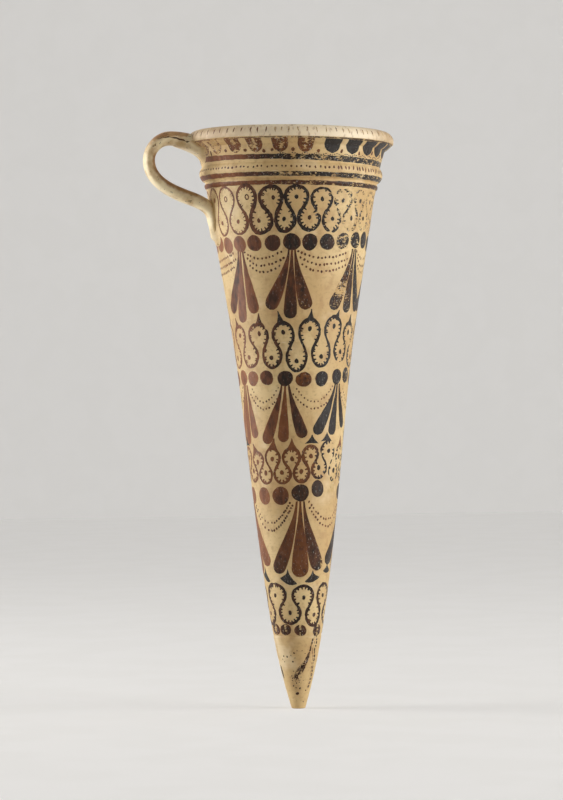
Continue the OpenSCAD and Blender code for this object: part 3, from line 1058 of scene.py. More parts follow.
def frieze(name, hearts, waves, over, under, swing, width, tooth_size, pitch, heart_r, gappy, tone=tone_at,
           wear=lower_wear, rust=0.0, toothed=lambda turn: 1.0, ringed=lambda turn: False):
    """One winding line with its teeth and hearts. width, tooth_size and gappy are functions of the turn."""
    painting = Painting(name, 0.06)
    hearts = whole_round(hearts, waves)
    places, bulbs = winding_line(hearts, over, under, swing)
    for a, b in broken(places, gappy):
        run = places[a:b + 1]
        line(painting, run, [width(t) * chance.uniform(0.78, 1.18) for t in run[:, 0]], tone, wear, rust)
    flat, lengths = unrolled(places)
    pinch = -0.62 * (over + under)
    for at in np.arange(0, lengths[-1], pitch):
        at += chance.uniform(-0.25, 0.25) * pitch
        i = int(np.clip(np.searchsorted(lengths, at), 1, len(places) - 2))
        turn, z = places[i]
        outward = 1 if bulbs[i] % 2 == 0 else -1
        beyond_heart = (z - hearts[bulbs[i]][1]) * outward
        if beyond_heart < pinch or chance.random() > toothed(seen_turn(turn)):
            continue
        if chance.random() < 0.8 * gappy(turn):
            continue
        flow = flat[i + 1] - flat[i - 1]
        flow /= np.linalg.norm(flow)
        inward = np.array([flow[1], -flow[0]]) * outward
        long, wide = tooth_size(turn)
        long = long * chance.uniform(0.75, 1.2) + width(turn) / 2
        wide = wide * chance.uniform(0.8, 1.2)
        tooth(painting, turn, z, inward * long, flow * wide / 2, tone(turn), wear(turn), at_place(rust, turn))
    for turn, z in hearts:
        if ringed(seen_turn(turn)):
            a = np.linspace(0, 2 * math.pi, 13)
            ring = np.stack(around_wall(turn, z, heart_r * np.cos(a), 0 * a), 1)
            ring[:, 1] += 1.2 * heart_r * np.sin(a)
            line(painting, ring, 0.8, tone, wear, rust, ends=1)
        else:
            disc(painting, turn, z, heart_r, heart_r * 1.2, tone(turn), wear(turn) * 0.6, at_place(rust, turn),
                 grid=(4, 4), wobble=0.08)
    painting.dry(slip)


# %% [markdown]
# The hearts in view are at their seen places, upper and lower in turn. The first frieze has the
# boldest line, and it is broken on the right. The third turns from rust to black as it goes round.

# %% The four friezes
first_hearts = [(-66.9, 298.5), (-60.2, 285), (-51.6, 298.5), (-41.8, 285.2), (-31.9, 298.9), (-24.1, 285.1),
                (-12.5, 298), (-5.5, 285.7), (3.4, 298.2), (12.6, 286.4), (21.5, 296.9), (30.3, 285.7),
                (38.1, 296.3), (47.7, 286.4), (56, 296.5), (62.9, 286.7), (71.7, 296.5)]
tooth_long = by_turn([-60, -40, -30, 180], [0.7, 0.9, 1.35, 1.25])
tooth_wide = by_turn([-60, -40, -30, 180], [0.6, 0.8, 1.35, 1.3])
frieze("slip_first_frieze", first_hearts, 21, over=7.0, under=7.2, swing=0.29,
       width=by_turn([-75, -42, -33, 5, 25, 60, 120, 180], [1.15, 1.3, 2.4, 2.1, 1.7, 1.6, 1.7, 1.5]),
       tooth_size=lambda t: (tooth_long(t), tooth_wide(t)), pitch=2.7, heart_r=1.15,
       gappy=by_turn([-180, -75, 8, 18, 32, 75, 110, 180], [0.02, 0, 0, 0.10, 0.30, 0.38, 0.06, 0.02]),
       wear=wear_at, ringed=lambda t: -60 < t < -45 or -38 < t < -30)

second_hearts = [(-59.8, 219.6), (-49.4, 206.7), (-33.4, 220.3), (-22.3, 206.2), (-9.4, 220.8), (2.8, 204.1),
                 (15.3, 222.7), (27.9, 206.6), (40.5, 224.1), (52.2, 209.4), (62.8, 220.7)]
frieze("slip_second_frieze", second_hearts, 14, over=5.9, under=5.8, swing=0.25,
       width=by_turn([-180, -60, -20, 10, 60, 180], [1.5, 1.2, 1.8, 1.6, 1.4, 1.5]),
       tooth_size=lambda t: (1.2, 1.3), pitch=2.6, heart_r=1.25,
       gappy=by_turn([-180, 40, 75, 120, 180], [0, 0.01, 0.12, 0.05, 0]))

third_hearts = [(-53, 145.6), (-40.1, 139.3), (-28.9, 147.4), (-17, 139.5), (-3.6, 147.4), (7.5, 140),
                (19.5, 148.9), (30.5, 142.1), (45, 151.7)]
frieze("slip_third_frieze", third_hearts, 15, over=6.0, under=6.2, swing=0.28,
       width=by_turn([-75, -30, 10, 25, 45, 60, 180], [1.1, 1.5, 1.9, 1.6, 0.9, 1.0, 1.4]),
       tooth_size=lambda t: (1.2, 1.5), pitch=3.1, heart_r=1.25,
       gappy=by_turn([-180, 30, 42, 75, 100, 180], [0, 0, 0.25, 0.35, 0.05, 0]),
       tone=by_turn([-180, -75, -30, 10, 22, 30, 60, 180], [0.5, 0.20, 0.30, 0.38, 0.45, 0.75, 0.90, 0.5]),
       rust=by_turn([-180, -60, 0, 20, 30, 180], [0.2, 0.4, 0.6, 0.5, 0, 0.2]),
       toothed=lambda t: 0.25 if -42 < t < -24 else 1.0)

fourth_hearts = [(-45.2, 67.4), (-14.8, 57.3), (12.8, 66.2), (36.9, 55.8), (57.3, 67)]
frieze("slip_fourth_frieze", fourth_hearts, 7, over=6.9, under=6.4, swing=0.245,
       width=lambda t: 1.7, tooth_size=lambda t: (1.1, 1.35), pitch=2.8, heart_r=1.1, gappy=lambda t: 0.0,
       tone=by_turn([-180, -75, -30, 0, 60, 180], [0.6, 0.5, 0.6, 0.72, 0.6, 0.6]))

# %% [markdown]
# Between the friezes hang rows of discs. Those in view are at their seen places, and the row goes on
# evenly round the back. Some discs in front have a size, a tone or a rusty patch of their own.

# %% Discs
def even_round(seen_places, count):
    """The places seen in front, and then evenly spaced ones round the back, count in all."""
    hidden = count - len(seen_places)
    gap = (seen_places[0][0] + 360 - seen_places[-1][0]) / (hidden + 1)
    z = sum(p[1] for p in seen_places) / len(seen_places)
    return list(seen_places) + [(seen_places[-1][0] + gap * k, z) for k in range(1, hidden + 1)]


first_discs = even_round([(-70.2, 273.2), (-57.2, 271.9), (-43.3, 272.3), (-29.6, 272.4), (-14.7, 272.2),
                          (-0.2, 272.6), (13.3, 272.4), (27.3, 272.5), (41.4, 273.3), (55.8, 274),
                          (69.1, 274.4)], 26)
second_discs = even_round([(-64, 195), (-47.1, 194.4), (-29.3, 194.7), (-9.1, 194.2), (10.1, 193.4),
                           (29.8, 193.8), (50.2, 194.9), (67.5, 195.8)], 19)
third_discs = even_round([(-77, 126), (-46.5, 125.8), (-20.5, 126), (6.3, 127.6), (30.3, 129.8),
                          (57.6, 130.9)], 14)
fourth_discs = even_round([(-57.4, 47.3), (-28, 47.3), (6.8, 46.9), (51, 46.5)], 8)

painting = Painting("slip_discs", 0.07)
middle_disc, flaked_disc = 5, 8
for k, (turn, z) in enumerate(first_discs):
    size, squash = (5.2, 0.94) if k == middle_disc else (4.7, 1.02)
    worn = 0.5 if k == flaked_disc else wear_at(turn) * 0.55
    rust = (lambda across, along: 0.5 * np.abs(across) ** 6) if k == middle_disc else 0.0
    disc(painting, turn, z, size, size * squash, tone_at(turn) - 0.05, worn, rust,
         tilt=chance.uniform(-0.2, 0.2))
rusty_disc = 4
for k, (turn, z) in enumerate(second_discs):
    rust = (lambda across, along: np.clip(1.5 - 1.25 * along, 0, 1)) if k == rusty_disc else 0.0
    browner = {0: 0.05, 1: 0.05, rusty_disc: 0.16}.get(k, 0.0)
    disc(painting, turn, z, 4.7 if k in (3, rusty_disc) else 4.3, 4.4, tone_at(turn) - browner,
         lower_wear(turn), rust, tilt=chance.uniform(-0.2, 0.2))
third_sizes = [(4.6, 5.2), (4.4, 5.3), (5.2, 5.4), (5.0, 5.2), (4.2, 4.9), (2.2, 3.4)]
for k, (turn, z) in enumerate(third_discs):
    rx, rz = third_sizes[k] if k < len(third_sizes) else (4.6, 5.0)
    disc(painting, turn, z, rx, rz, tone_at(turn) + (-0.1 if k < 3 else 0.05), 0.85 if k == 5 else 0.12, 0.2,
         tilt=0.35 if k in (1, 2) else 0.0)
for turn, z in fourth_discs:
    disc(painting, turn, z, 3.6, 3.4, 0.62, lambda across, along: 0.62 - 0.55 * np.abs(across), 0.1)
painting.dry(slip)

# %% [markdown]
# From every third or fourth disc hangs a pendant of three petals. A petal leaves its disc about a
# millimetre wide, swells slowly and closes in a round end. The outer petals bend away, and their
# edges bend with them.

# %% A pendant of three petals
petal_root = 0.55


def petal(painting, top, foot, half, tone, wear=0.2, rust=0.0, bend=1.5):
    """A petal from top to foot, both a turn and a height. bend above 1 holds it straight at first."""
    (t0, z0), (t1, z1) = top, foot
    across_mm = math.radians(t1 - t0) * float(wall_r(z1 + half))
    drop = z0 - z1
    full = 1 - half / math.hypot(drop, across_mm)

    def layout(across, along):
        s = np.sin(0.5 * math.pi * along * 0.965)
        grown = np.clip(s / full, 0, 1)
        swell = petal_root + (half - petal_root) * (0.18 * grown + 0.82 * grown**2 * (3 - 2 * grown))
        width = np.where(s > full, half * np.sqrt(np.maximum(1 - ((s - full) / (1 - full)) ** 2, 0)), swell)
        slope = np.stack([across_mm * bend * np.maximum(s, 0.02) ** (bend - 1), np.full(len(s), -drop)], 1)
        slope /= np.linalg.norm(slope, axis=1)[:, None]
        u = across_mm * s**bend - slope[:, 1] * across * width
        return around_wall(t0, z0, u, -drop * s + slope[:, 0] * across * width)

    painting.add((18, 8), layout, rimmed(tone, lambda across, along: np.abs(across) ** 6), wear, rust)


def fading(first, second, power=1.5):
    """A value that runs from the petal's root to its end."""
    return lambda across, along: first + (second - first) * along**power


def pendant(painting, turn, z, feet, halves, tones, wear, rusts=(0, 0, 0), gap=1.75, bend=1.5):
    """Three petals under a disc. wear is one value for all three or one for each."""
    step = math.degrees(gap / float(wall_r(z)))
    wears = wear if isinstance(wear, tuple) else (wear, wear, wear)
    for side, foot, half, tone, worn, rust in zip((-1, 0, 1), feet, halves, tones, wears, rusts):
        petal(painting, (turn + side * step, z), foot, half, tone, worn, rust, bend=bend if side else 1.0)


def pendant_behind(painting, turn, z, feet, halves, last_darker, wear, rusts, **bends):
    """A pendant that isn't in view, in the tone of its side. Its feet are given from its own turn."""
    shade = tone_at(turn)
    feet = [(turn + offset, foot_z) for offset, foot_z in feet]
    pendant(painting, turn, z, feet, halves, (shade, shade - 0.1, shade + last_darker), wear, rusts, **bends)


# %% [markdown]
# Each petal takes its own tone, so a petal may fire purple at its root and rusty at its end, as the
# ones in front do. The pendants behind repeat the common pattern with the tone of their side.

# %% Three rows of pendants
painting = Painting("slip_pendants", 0.06)
pendant(painting, -43.5, 268.4, [(-67.5, 233), (-52.5, 227), (-36, 232)], (4.0, 3.8, 3.9),
        (0.46, 0.28, 0.30), 0.05)
pendant(painting, -0.2, 268.4, [(-21.2, 234.3), (-2.7, 228.7), (12.6, 233.8)], (4.2, 3.9, 4.1),
        (fading(0.50, 0.60), fading(0.52, 0.88), fading(0.56, 0.80)), (0.1, 0.1, fading(0.1, 0.5, 3)),
        (0.0, fading(0.35, 0.0), fading(0.3, 0.55)))
worn_middle = lambda across, along: 0.32 + 0.33 * np.exp(-(((along - 0.5) / 0.14) ** 2))
pendant(painting, 55.8, 268.9, [(36.6, 233.8), (54.6, 232), (73, 233)], (4.2, 3.6, 3.6), (0.85, 0.92, 0.95),
        (worn_middle, 0.38, 0.28), (fading(0.5, 0.0), fading(0.4, 0.0), 0))
first_behind = [first_discs[k] for k in (12, 16, 20, 23)]
for turn, z in first_behind:
    pendant_behind(painting, turn, z - 4.2, [(-20.5, 233.6), (-1, 229), (20, 233.6)], (4.1, 3.8, 4.0), 0.05,
                   0.3, (0.1, 0.4, 0.1))

pendant(painting, -61.5, 190.6, [(-87, 158), (-69.5, 156), (-52.5, 159.6)], (3.2, 3.2, 3.2), (0.12, 0.15, 0.22),
        0.05, gap=1.7, bend=1.3)
pendant(painting, -9.3, 190.3, [(-36.4, 156.4), (-13.8, 157.2), (10.2, 159.6)], (3.7, 3.3, 3.5),
        (fading(0.45, 0.32), fading(0.25, 0.36), fading(0.50, 0.75)), 0.06,
        (fading(0.1, 0.6), fading(0.5, 0.4), fading(0.0, 0.9, 7)), gap=2.1, bend=1.3)
pendant(painting, 52, 190.8, [(24.8, 161.6), (48, 160.9), (70.5, 165.2)], (3.6, 3.2, 2.8),
        (0.95, 1.0, 0.85), 0.10, gap=1.9, bend=1.35)
second_behind = [111.5, 168, 226]
for turn in second_behind:
    pendant_behind(painting, turn, 190.5, [(-25, 157.5), (-1, 158.3), (22, 160.5)], (3.6, 3.2, 3.5), 0.0, 0.25,
                   (0.2, 0.3, 0.1), gap=1.8, bend=1.6)

pendant(painting, 6.2, 122.7, [(-34.5, 80.6), (5.8, 78.2), (39.3, 82)], (4.4, 5.0, 4.4),
        (fading(0.40, 0.78), fading(0.48, 0.50), fading(0.58, 0.74)),
        (fading(0.05, 0.25, 3), fading(0.08, 0.38, 3), fading(0.15, 0.50, 2)),
        (fading(0.7, 0.1), fading(0.7, 0.9), 0.2), gap=2.1)
third_behind = [96, 188, 276]
for turn in third_behind:
    pendant_behind(painting, turn, 121.8, [(-37, 85.2), (0, 79.5), (30, 84.6)], (4.2, 4.6, 4.2), 0.0, 0.2,
                   (0.1, 0.4, 0.1), gap=2.1)
painting.dry(slip)

# %% [markdown]
# Rows of small dots hang in swags between the pendants. A swag is a shallow curve from one pendant to
# the next, and its dots are spaced along it by their real distance, with a little of the unevenness
# that a hand leaves.

# %% Dotted swags
def swag(painting, start, bottom, end, spacing, r):
    """Dots from start down to the bottom and up to the end, each a turn and a height."""
    turns = np.linspace(start[0], end[0], 200)
    left = between(turns, bottom[0], start[0])
    right = between(turns, bottom[0], end[0])
    z = bottom[1] + (start[1] - bottom[1]) * left**2 + (end[1] - bottom[1]) * right**2
    lengths = unrolled(np.stack([turns, z], 1))[1]
    for at in np.arange(0, lengths[-1], spacing):
        nudged = at + chance.uniform(-0.15, 0.15) * spacing
        i = int(np.searchsorted(lengths, nudged).clip(0, len(turns) - 1))
        dot_z = z[i] + chance.uniform(-0.25, 0.25)
        dot(painting, turns[i], dot_z, r, swag_tone(turns[i]), swag_wear(turns[i]), 0.3, tall=1.05)


def neighbours(turns):
    """Each turn with the next one, and the last with the first again."""
    return zip(turns, turns[1:] + [turns[0] + 360])


painting = Painting("slip_swags", 0.055)
for a, b in neighbours([-43.5, -0.2, 55.8] + [turn for turn, _ in first_behind]):
    low = a + 0.42 * (b - a)
    for (da, za), bottom, (db, zb) in (((4.3, 267.6), 263.4, (-8, 267.2)), ((6.3, 263.8), 259.4, (-6, 263.5)),
                                       ((8, 259.6), 255.6, (-9, 259.4))):
        swag(painting, (a + da, za), (low, bottom), (b + db, zb), 2.5, 0.70)
for a, b in neighbours([-61.5, -9.3, 52] + second_behind):
    swag(painting, (a + 11.7, 188.2), ((a + b) / 2, 180.4), (b - 6.7, 189.7), 2.3, 0.52)
    swag(painting, (a + 8, 185.3), ((a + b) / 2, 176.4), (b - 8, 183.5), 2.3, 0.58)
for a, b in neighbours([6.2] + third_behind):
    low_z = 111 if a < 20 else 109
    swag(painting, (a + 12, 122.3), ((a + b) / 2, low_z + 0.8), (b - 13.8, 122.2), 2.35, 0.64)
    swag(painting, (a + 13, 119), ((a + b) / 2, low_z - 3.6), (b - 9.7, 121.3), 2.35, 0.70)
painting.dry(slip)

# %% [markdown]
# Small dark shapes fill the gaps: flames on the bulbs of the second frieze, little hats on the third,
# and winged drops between the third row's petals. Flames and hats start from a point and spread
# downwards, so one blade function draws both, with a width law for each.

# %% Flames, hats and winged drops
painting = Painting("slip_small_shapes", 0.05)
flames = [(-64.5, 229.9), (-32.1, 232.1), (-13.4, 233), (16.5, 234), (45.4, 233.6), (64.3, 231.3)]
for k, (heart_turn, heart_z) in enumerate(whole_round(second_hearts, 14)[::2]):
    apex_turn, apex_z = flames[k] if k < len(flames) else (heart_turn + chance.uniform(-4, 4), heart_z + 11.5)
    foot_z = heart_z + 4.6
    lean = to_mm(heart_turn - apex_turn, foot_z)
    blade(painting, apex_turn, apex_z, lean, apex_z - foot_z + 0.2, lambda s: 0.3 + 5.0 * s**1.6,
          tone_at(heart_turn) + 0.1, 0.12, sag=3.4)
hats = [(-59.3, 156.3, 1), (-24.8, 159.5, 1), (-3.5, 159.2, 1), (20.5, 161.2, 0), (40.7, 162.4, 0)]
for k, (heart_turn, heart_z) in enumerate(whole_round(third_hearts, 15)[::2]):
    apex_turn, apex_z, brown = hats[k] if k < len(hats) else (heart_turn, heart_z + 12, k % 2)
    foot_z = heart_z + 6.3 if brown else apex_z - 4.8
    lean = to_mm(heart_turn - apex_turn, foot_z) if brown else 0.0
    tone, rust, sag = (0.25, 0.4, 2.2) if brown else (0.95, 0.0, 0.3)
    blade(painting, apex_turn, apex_z, lean, apex_z - foot_z, lambda s: 0.3 + 4.1 * s**1.5, tone, 0.1, rust,
          sag=sag)


def winged_drop(turn, z, half, height, tilt):
    """A point above, two drooping wings and a rounded foot."""
    def layout(across, along):
        top = -0.74 * height * np.abs(across) ** 0.5
        bottom = -height * (1 - 0.20 * across**2)
        v = top + (bottom - top) * along
        return around_wall(turn, z, across * half, v - tilt * across)

    painting.add((5, 12), layout, 0.92, 0.18)


drops = [(-15, 83.3, 4.9, 9.4, 1.6), (28.2, 82.3, 4.7, 7.2, -1.2), (-66, 84, 3.8, 8.5, 1.8),
         (62, 86, 3.8, 6, 0), (106, 83.5, 4.8, 8.5, 1), (158, 83, 4.8, 8.5, -1),
         (202, 83, 4.6, 8.5, 1), (247, 83.5, 4.6, 8.5, 0)]
for drop in drops:
    winged_drop(*drop)
painting.dry(slip)

# %% [markdown]
# Three level bands frame the mouldings, and a thin line runs under the lip. A band goes all the way
# round, so it is spun like the clay itself: its section hugs the surface with a tenth of a
# millimetre of thickness, and afterwards its two edges are moved a little up and down so that they
# look drawn by hand.

# %% Painted bands
def band_ring(name, low, high, wander, tone, wear, rust=0.0, tilt=0.0):
    """A painted band between two heights. wander is how far its edges stray."""
    lift = 0.06
    heights = np.linspace(low, high, 6)
    section = [(float(clay_r(0.0, z)) + lift, z) for z in heights]
    section += [(float(clay_r(0.0, z)) - bedded, z) for z in heights[::-1]]

    def hand_drawn(angle, r, z):
        outer = r > clay_r(0.0, z)
        share = (z - (low + high) / 2) / ((high - low) / 2)
        edge = np.sin(11 * angle + 3 * np.sin(4 * angle)) + 0.7 * np.sin(37 * angle + share)
        edge = edge + 0.5 * np.sin(83 * angle - 2 * share)
        moved = z + wander * (edge * share + 0.5 * np.sin(3 * angle + 1)) - tilt * np.sin(angle)
        return clay_r(0.0, moved) + np.where(outer, lift, -bedded), moved

    band = spun(name, section, shape=hand_drawn, smooth_angle=30)
    x, y, _ = np.array([v.co for v in band.data.vertices]).T
    turns = np.degrees(np.arctan2(x, -y)) - facing
    write_brush(band.data, np.stack([tone(turns), wear(turns), np.full(len(turns), rust)], 1))
    place(band, "dark_slip", slip)


band_ring("slip_band_upper", 320.2, 323.2, 0.14, band_tone, band_wear, tilt=0.7)
band_ring("slip_band_moulding", 310.9, 313.4, 0.12, band_tone, band_wear)
band_ring("slip_band_ridge", 306.0, 308.6, 0.12,
          by_turn([-180, -75, -30, 0, 40, 180], [0.5, 0.12, 0.3, 0.6, 0.85, 0.5]),
          by_turn([-180, -40, 0, 60, 180], [0.30, 0.08, 0.38, 0.42, 0.30]), 0.3)
band_ring("slip_line_under_lip", edge_z - 0.9, edge_z - 0.25, 0.08, band_tone,
          by_turn([-180, 0, 90, 180], [0.5, 0.5, 0.4, 0.5]), 0.3)

# %% [markdown]
# On the collar hang tongues of slip with a dot between each pair, and the broad moulding has a row of
# small dots. A broken wavy line runs above the upper band. The tongues on the left have worn to
# faint strokes, and those on the right are whole and lean a little.

# %% Tongues and dots on the collar
painting = Painting("slip_collar_marks", 0.055)
tongue_turns = (-51.5, -36, -21.8, -6.3, 8.8, 25.2, 40, 53.8, 66.6, 79.5)
tongues = [turn for turn, _ in even_round([(turn, 332.2) for turn in tongue_turns], 25)]
tongue_tone = by_turn([-60, -36, 9, 24, 180], [0.15, 0.35, 0.42, 1.0, 0.8])
tongue_wear = by_turn([-180, -54, -50, -36, 9, 24, 180], [0.4, 0.56, 0.52, 0.32, 0.36, 0.10, 0.25])
for turn in tongues:
    half, lean, rust = (4.6, 0.0, 0.35) if turn < 20 else (5.1, 0.9, 0.0)
    worn = tongue_wear(turn)
    worn_within = 0.22 if worn > 0.3 else 0.0
    blade(painting, turn, 332.2, lean, 7.9, lambda s: half * (1 - (0.99 * s) ** 3.4) ** 0.5 + 0.1,
          tongue_tone(turn), lambda across, along: worn + worn_within * (1 - np.abs(across)), rust,
          grid=(12, 8), sag=-0.5)
for a, b in neighbours(tongues):
    turn = (a + b) / 2
    size, tall = (0.85, 1.6) if turn > 20 else (1.05, 1.0)
    for where in (turn,) if turn > 0 or turn < -25 else (turn - 2.6, turn + 2.6):
        dot(painting, where, 325.6 + chance.uniform(-0.5, 0.5), size, 0.4, 0.15, 0.2, tall=tall)
upright = by_turn([10, 60, 180], [1.2, 2.2, 1.6])
for turn in np.arange(-180, 180, 3.0):
    tall = 1.0 if turn < 10 else upright(turn)
    dot(painting, turn + chance.uniform(-0.6, 0.6), 316.3 + chance.uniform(-0.3, 0.3), 0.62, swag_tone(turn),
        0.15, 0.2, tall=tall)
for turn in np.arange(-10, 95, 1.5):
    if chance.random() < 0.8:
        wavy = [(turn + d, 323.7 + 0.4 * math.sin(turn * 0.9 + d)) for d in (0, 0.5, 1.0)]
        line(painting, wavy, 0.6, 0.9, 0.25)

# %% [markdown]
# The lip has thin strokes across its outer edge, fainter on the right. The side of the strap that
# faces us has one line, drawn in three runs that get thinner, and a few smudges. These marks belong
# to the same painting as the collar's.

# %% Strokes on the lip and the strap
turn = -180.0
while turn < 180:
    turn += 4.9 * chance.uniform(0.75, 1.25)
    drift = chance.uniform(-0.4, 0.4)
    long = chance.uniform(2.4, 3.6)
    stroke = [(turn + drift * s, 338.6 - long * s) for s in np.linspace(0, 1, 5)]
    faint = 0.35 if -10 < turn < 100 else 0.0
    line(painting, stroke, [0.5, 0.7, 0.7, 0.55, 0.35], 0.35, chance.uniform(0.1, 0.45) + faint, 0.4)
side_line = [(i, 0.62 - 0.97 * ((i - 3) / 18) ** 1.2 + 0.05 * math.sin(2.1 * i)) for i in range(3, 22)]
painting.add_on_strap(side_line[:8], 1.15, 0.55, 0.25)
painting.add_on_strap(side_line[7:14], 0.95, 0.55, 0.35)
painting.add_on_strap(side_line[13:], 0.8, 0.5, 0.45)
smudges = [(17, -0.72, 3), (20, -0.5, 3), (22, 0.1, 2), (24, -0.25, 3), (12, -0.8, 2), (8, -0.5, 2)]
for station, inward, long in smudges:
    smudge = [(station + k, inward + 0.12 * math.sin(k * 2)) for k in range(long)]
    painting.add_on_strap(smudge, chance.uniform(0.7, 1.2), 0.6, 0.5)
painting.dry(slip)

# %% [markdown]
# The tip is a cleaner piece of clay below the last join, with only traces of its painting left: a
# scatter of dark spots, the streaky rest of one petal that ran down to the left, a broken dotted
# stroke on the right and a dark sliver on the left.

# %% Traces on the tip
painting = Painting("slip_tip_traces", 0.05)
spots = [(-43.9, 31.4, 0.5), (-32, 31.2, 0.5), (-20, 32, 0.35), (-10.2, 33.4, 0.5), (-15.2, 28.3, 0.65),
         (-1.7, 34.9, 0.3), (-50.4, 29.5, 0.3), (-4.6, 9.2, 1.0), (7.7, 12.3, 0.6), (36.9, 11, 0.5),
         (32.3, 4.2, 0.4), (-21.1, 13.8, 0.6), (-23, 19.7, 0.4), (11.4, 34.8, 0.3), (-44, 28, 0.3),
         (-8, 30.5, 0.25), (-24, 17, 0.3), (20, 33, 0.3)]
for turn, z, r in spots:
    dot(painting, turn, z, r, 0.62, 0.1)
for k in range(16):
    dot(painting, 90 + 11 * k + chance.uniform(-5, 5), chance.uniform(6, 38), chance.uniform(0.25, 0.6), 0.6,
        0.2)
petal_rest = np.array([(40.4, 41.8), (37, 37.5), (34.1, 34), (30, 31.8), (25.8, 29.9), (18.9, 26.9), (11, 24.6),
                       (3, 22.4), (-5, 19.6), (-12.5, 16.6)])
fine = np.stack([np.interp(np.linspace(0, 9, 55), np.arange(10), column) for column in petal_rest.T], 1)
spread = np.linspace(0.15, 1.0, 55)
# Each streak: how far it lies from the middle one, its width, and its first and last place
streaks = [(0.0, 1.1, 0, 40), (0.9, 0.75, 6, 52), (-0.9, 0.6, 12, 54), (1.9, 0.6, 14, 44), (-1.7, 0.4, 30, 55),
           (0.4, 0.7, 28, 55), (2.7, 0.4, 22, 40), (-0.4, 0.5, 34, 52)]
for offset, width, start, end in streaks:
    run = fine[start:end] + np.outer(spread * offset, (3.4, -0.9))[start:end]
    for a, b in broken(run, lambda t: 0.05 if t > 18 else 0.16):
        line(painting, run[a:b + 1], width * chance.uniform(0.7, 1.1), 0.62, 0.42)
for k in range(22):
    dot(painting, chance.gauss(-3, 8), chance.gauss(18, 3.2), chance.uniform(0.18, 0.4), 0.6, 0.2)
dashes = [(50.5, 42.8), (52.5, 41), (54, 39.2), (53, 37.2), (50, 35.2), (52, 33.4), (53.6, 31.2), (54.5, 29),
          (53.5, 27), (55, 24.6), (57, 22.4), (57.5, 20), (57, 17.6), (55, 15.4), (51, 13.2)]
for turn, z in dashes:
    half = chance.uniform(0.5, 1.0)
    line(painting, [(turn, z + half), (turn + 1, z), (turn, z - half)], chance.uniform(0.9, 1.5), 0.68, 0.4,
         ends=0.8)
    line(painting, [(turn - 7, z + half), (turn - 6.5, z - half)], chance.uniform(0.3, 0.6), 0.6, 0.5, ends=0.8)
sliver = [(-73, 26), (-71.5, 24.5), (-70, 21.5), (-68.5, 19), (-68, 17.8)]
line(painting, sliver, [0.4, 1.6, 2.0, 1.4, 0.4], 0.85, 0.2)
painting.dry(slip)

# %% [markdown]
# The cup stands on a pale sheet that curves up behind it, so nothing but the cup draws the eye. A
# plane's far edge is extruded up and the fold is rounded with a bevel. Its finish glows a little for
# the camera and for reflections alone, which keeps it pale without throwing more light on the cup.

# %% Floor and backdrop
def only_edges(piece, wanted):
    """Selects the edges whose two points are both wanted, and no others."""
    edit = bmesh.from_edit_mesh(piece.data)
    for edge in edit.edges:
        edge.select = all(wanted(v.co) for v in edge.verts)
    bmesh.update_edit_mesh(piece.data)


sheet_size, far_edge = 6, 2.9
deselect()
bpy.ops.mesh.primitive_plane_add(size=sheet_size, location=(0, 0, 0))
sheet = bpy.context.object
sheet.name = "studio_sheet"
bpy.ops.object.mode_set(mode="EDIT")
only_edges(sheet, lambda co: co.y > far_edge)
bpy.ops.mesh.extrude_region_move(TRANSFORM_OT_translate={"value": (0, 0, 4)})
only_edges(sheet, lambda co: co.y > far_edge and co.z < 0.1)
bpy.ops.mesh.bevel(offset=1.2, segments=16, affect="EDGES")
bpy.ops.object.mode_set(mode="OBJECT")
bpy.ops.object.shade_smooth_by_angle(angle=math.radians(40))
sheet.data.transform(Matrix.Rotation(math.radians(facing), 4, "Z"))
f = Finish("pale paper", roughness_range=(0.85, 0.95), bump=(0.2, 0.1))
paper = f.blotch(seen(236, 234, 230), (240, 238, 235), 60, 0.4, 0.6, detail=2)
sheet.data.materials.append(f.finish(paper, f.noise(30), f.noise(1.5)))
glow = f.add("ShaderNodeEmission", {"Color": seen(238, 236, 233)})
rays = f.add("ShaderNodeLightPath").outputs
in_sight = f.sums("MULTIPLY", f.sums("MAXIMUM", rays["Is Camera Ray"], rays["Is Glossy Ray"]), 0.6)
blend = f.add("ShaderNodeMixShader", {"Fac": in_sight})
f.link(f.shader.outputs["BSDF"], blend.inputs[1])
f.link(glow.outputs["Emission"], blend.inputs[2])
f.link(blend.outputs["Shader"], f.tree.nodes["Material Output"].inputs["Surface"])

# %% [markdown]
# The light is soft and plain: one large lamp to the right of the camera, one to the left and a
# little behind that draws the bright edge, and an even fill from all round. The colours render
# about as they are written, and nothing clips.

# %% Lamps and world
def toward(turn, distance, height):
    """A place round the cup, in metres. Turn 0 is the camera's side."""
    angle = math.radians(turn + facing)
    return Vector((distance * math.sin(angle), -distance * math.cos(angle), height))


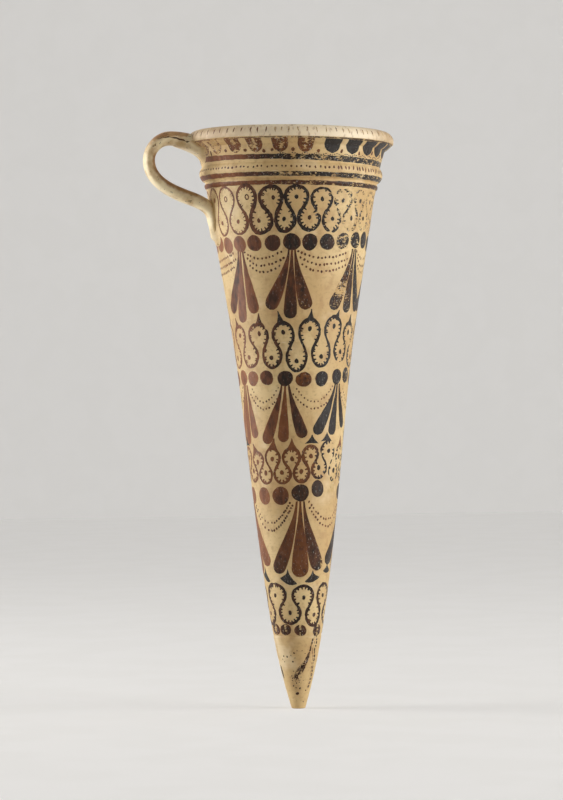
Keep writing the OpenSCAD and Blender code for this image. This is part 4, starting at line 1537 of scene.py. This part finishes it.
def lamp(name, turn, distance, height, size, power):
    """A rectangular lamp that points at the cup's middle."""
    light = bpy.data.lights.new(name, "AREA")
    light.shape = "RECTANGLE"
    light.size, light.size_y = size
    light.energy = power
    holder = bpy.data.objects.new(name, light)
    bpy.context.collection.objects.link(holder)
    holder.location = toward(turn, distance, height)
    holder.rotation_euler = (Vector((0, 0, 0.18)) - holder.location).to_track_quat("-Z", "Y").to_euler()


lamp("right_lamp", 74, 1.5, 0.6, (0.9, 1.2), 21)
lamp("left_lamp", -98, 1.3, 0.5, (0.6, 1.2), 18)
fill_strength, backdrop_strength = 0.78, 0.9
world = bpy.data.worlds.new("plain light")
bpy.context.scene.world = world
world.use_nodes = True
tree = world.node_tree
sky = tree.nodes["Background"]
sky.inputs["Color"].default_value = (1, 1, 1, 1)
path = tree.nodes.new("ShaderNodeLightPath")
level = tree.nodes.new("ShaderNodeMapRange")
level.inputs["To Min"].default_value = fill_strength
level.inputs["To Max"].default_value = backdrop_strength
tree.links.new(path.outputs["Is Camera Ray"], level.inputs["Value"])
tree.links.new(level.outputs["Result"], sky.inputs["Strength"])

# %% [markdown]
# The camera stands level, 1.8 m in front of the cup and a little to its left, with a long lens, so the
# cone keeps its true outline. The cup leans less than a degree in the picture, and the camera's
# roll gives that lean, so the cup itself stays upright.

# %% Camera
distance, height, to_left = 1.8, 0.1817, 0.00742
roll = math.radians(-0.823)
camera_data = bpy.data.cameras.new("camera")
camera = bpy.data.objects.new("camera", camera_data)
bpy.context.collection.objects.link(camera)
camera_data.sensor_fit = "VERTICAL"
camera_data.sensor_height = 36
camera_data.lens = 137.4
right = Vector((math.cos(math.radians(facing)), math.sin(math.radians(facing)), 0))
camera.location = toward(0, distance, height) - right * to_left
level_view = (-toward(0, 1, 0)).to_track_quat("-Z", "Y").to_matrix().to_4x4()
camera.matrix_world = Matrix.Translation(camera.location) @ level_view @ Matrix.Rotation(roll, 4, "Z")
bpy.context.scene.camera = camera
bpy.context.scene.view_settings.view_transform = "Standard"

# %% [markdown]
# Last, the view layer is brought up to date.


bpy.context.view_layer.update()
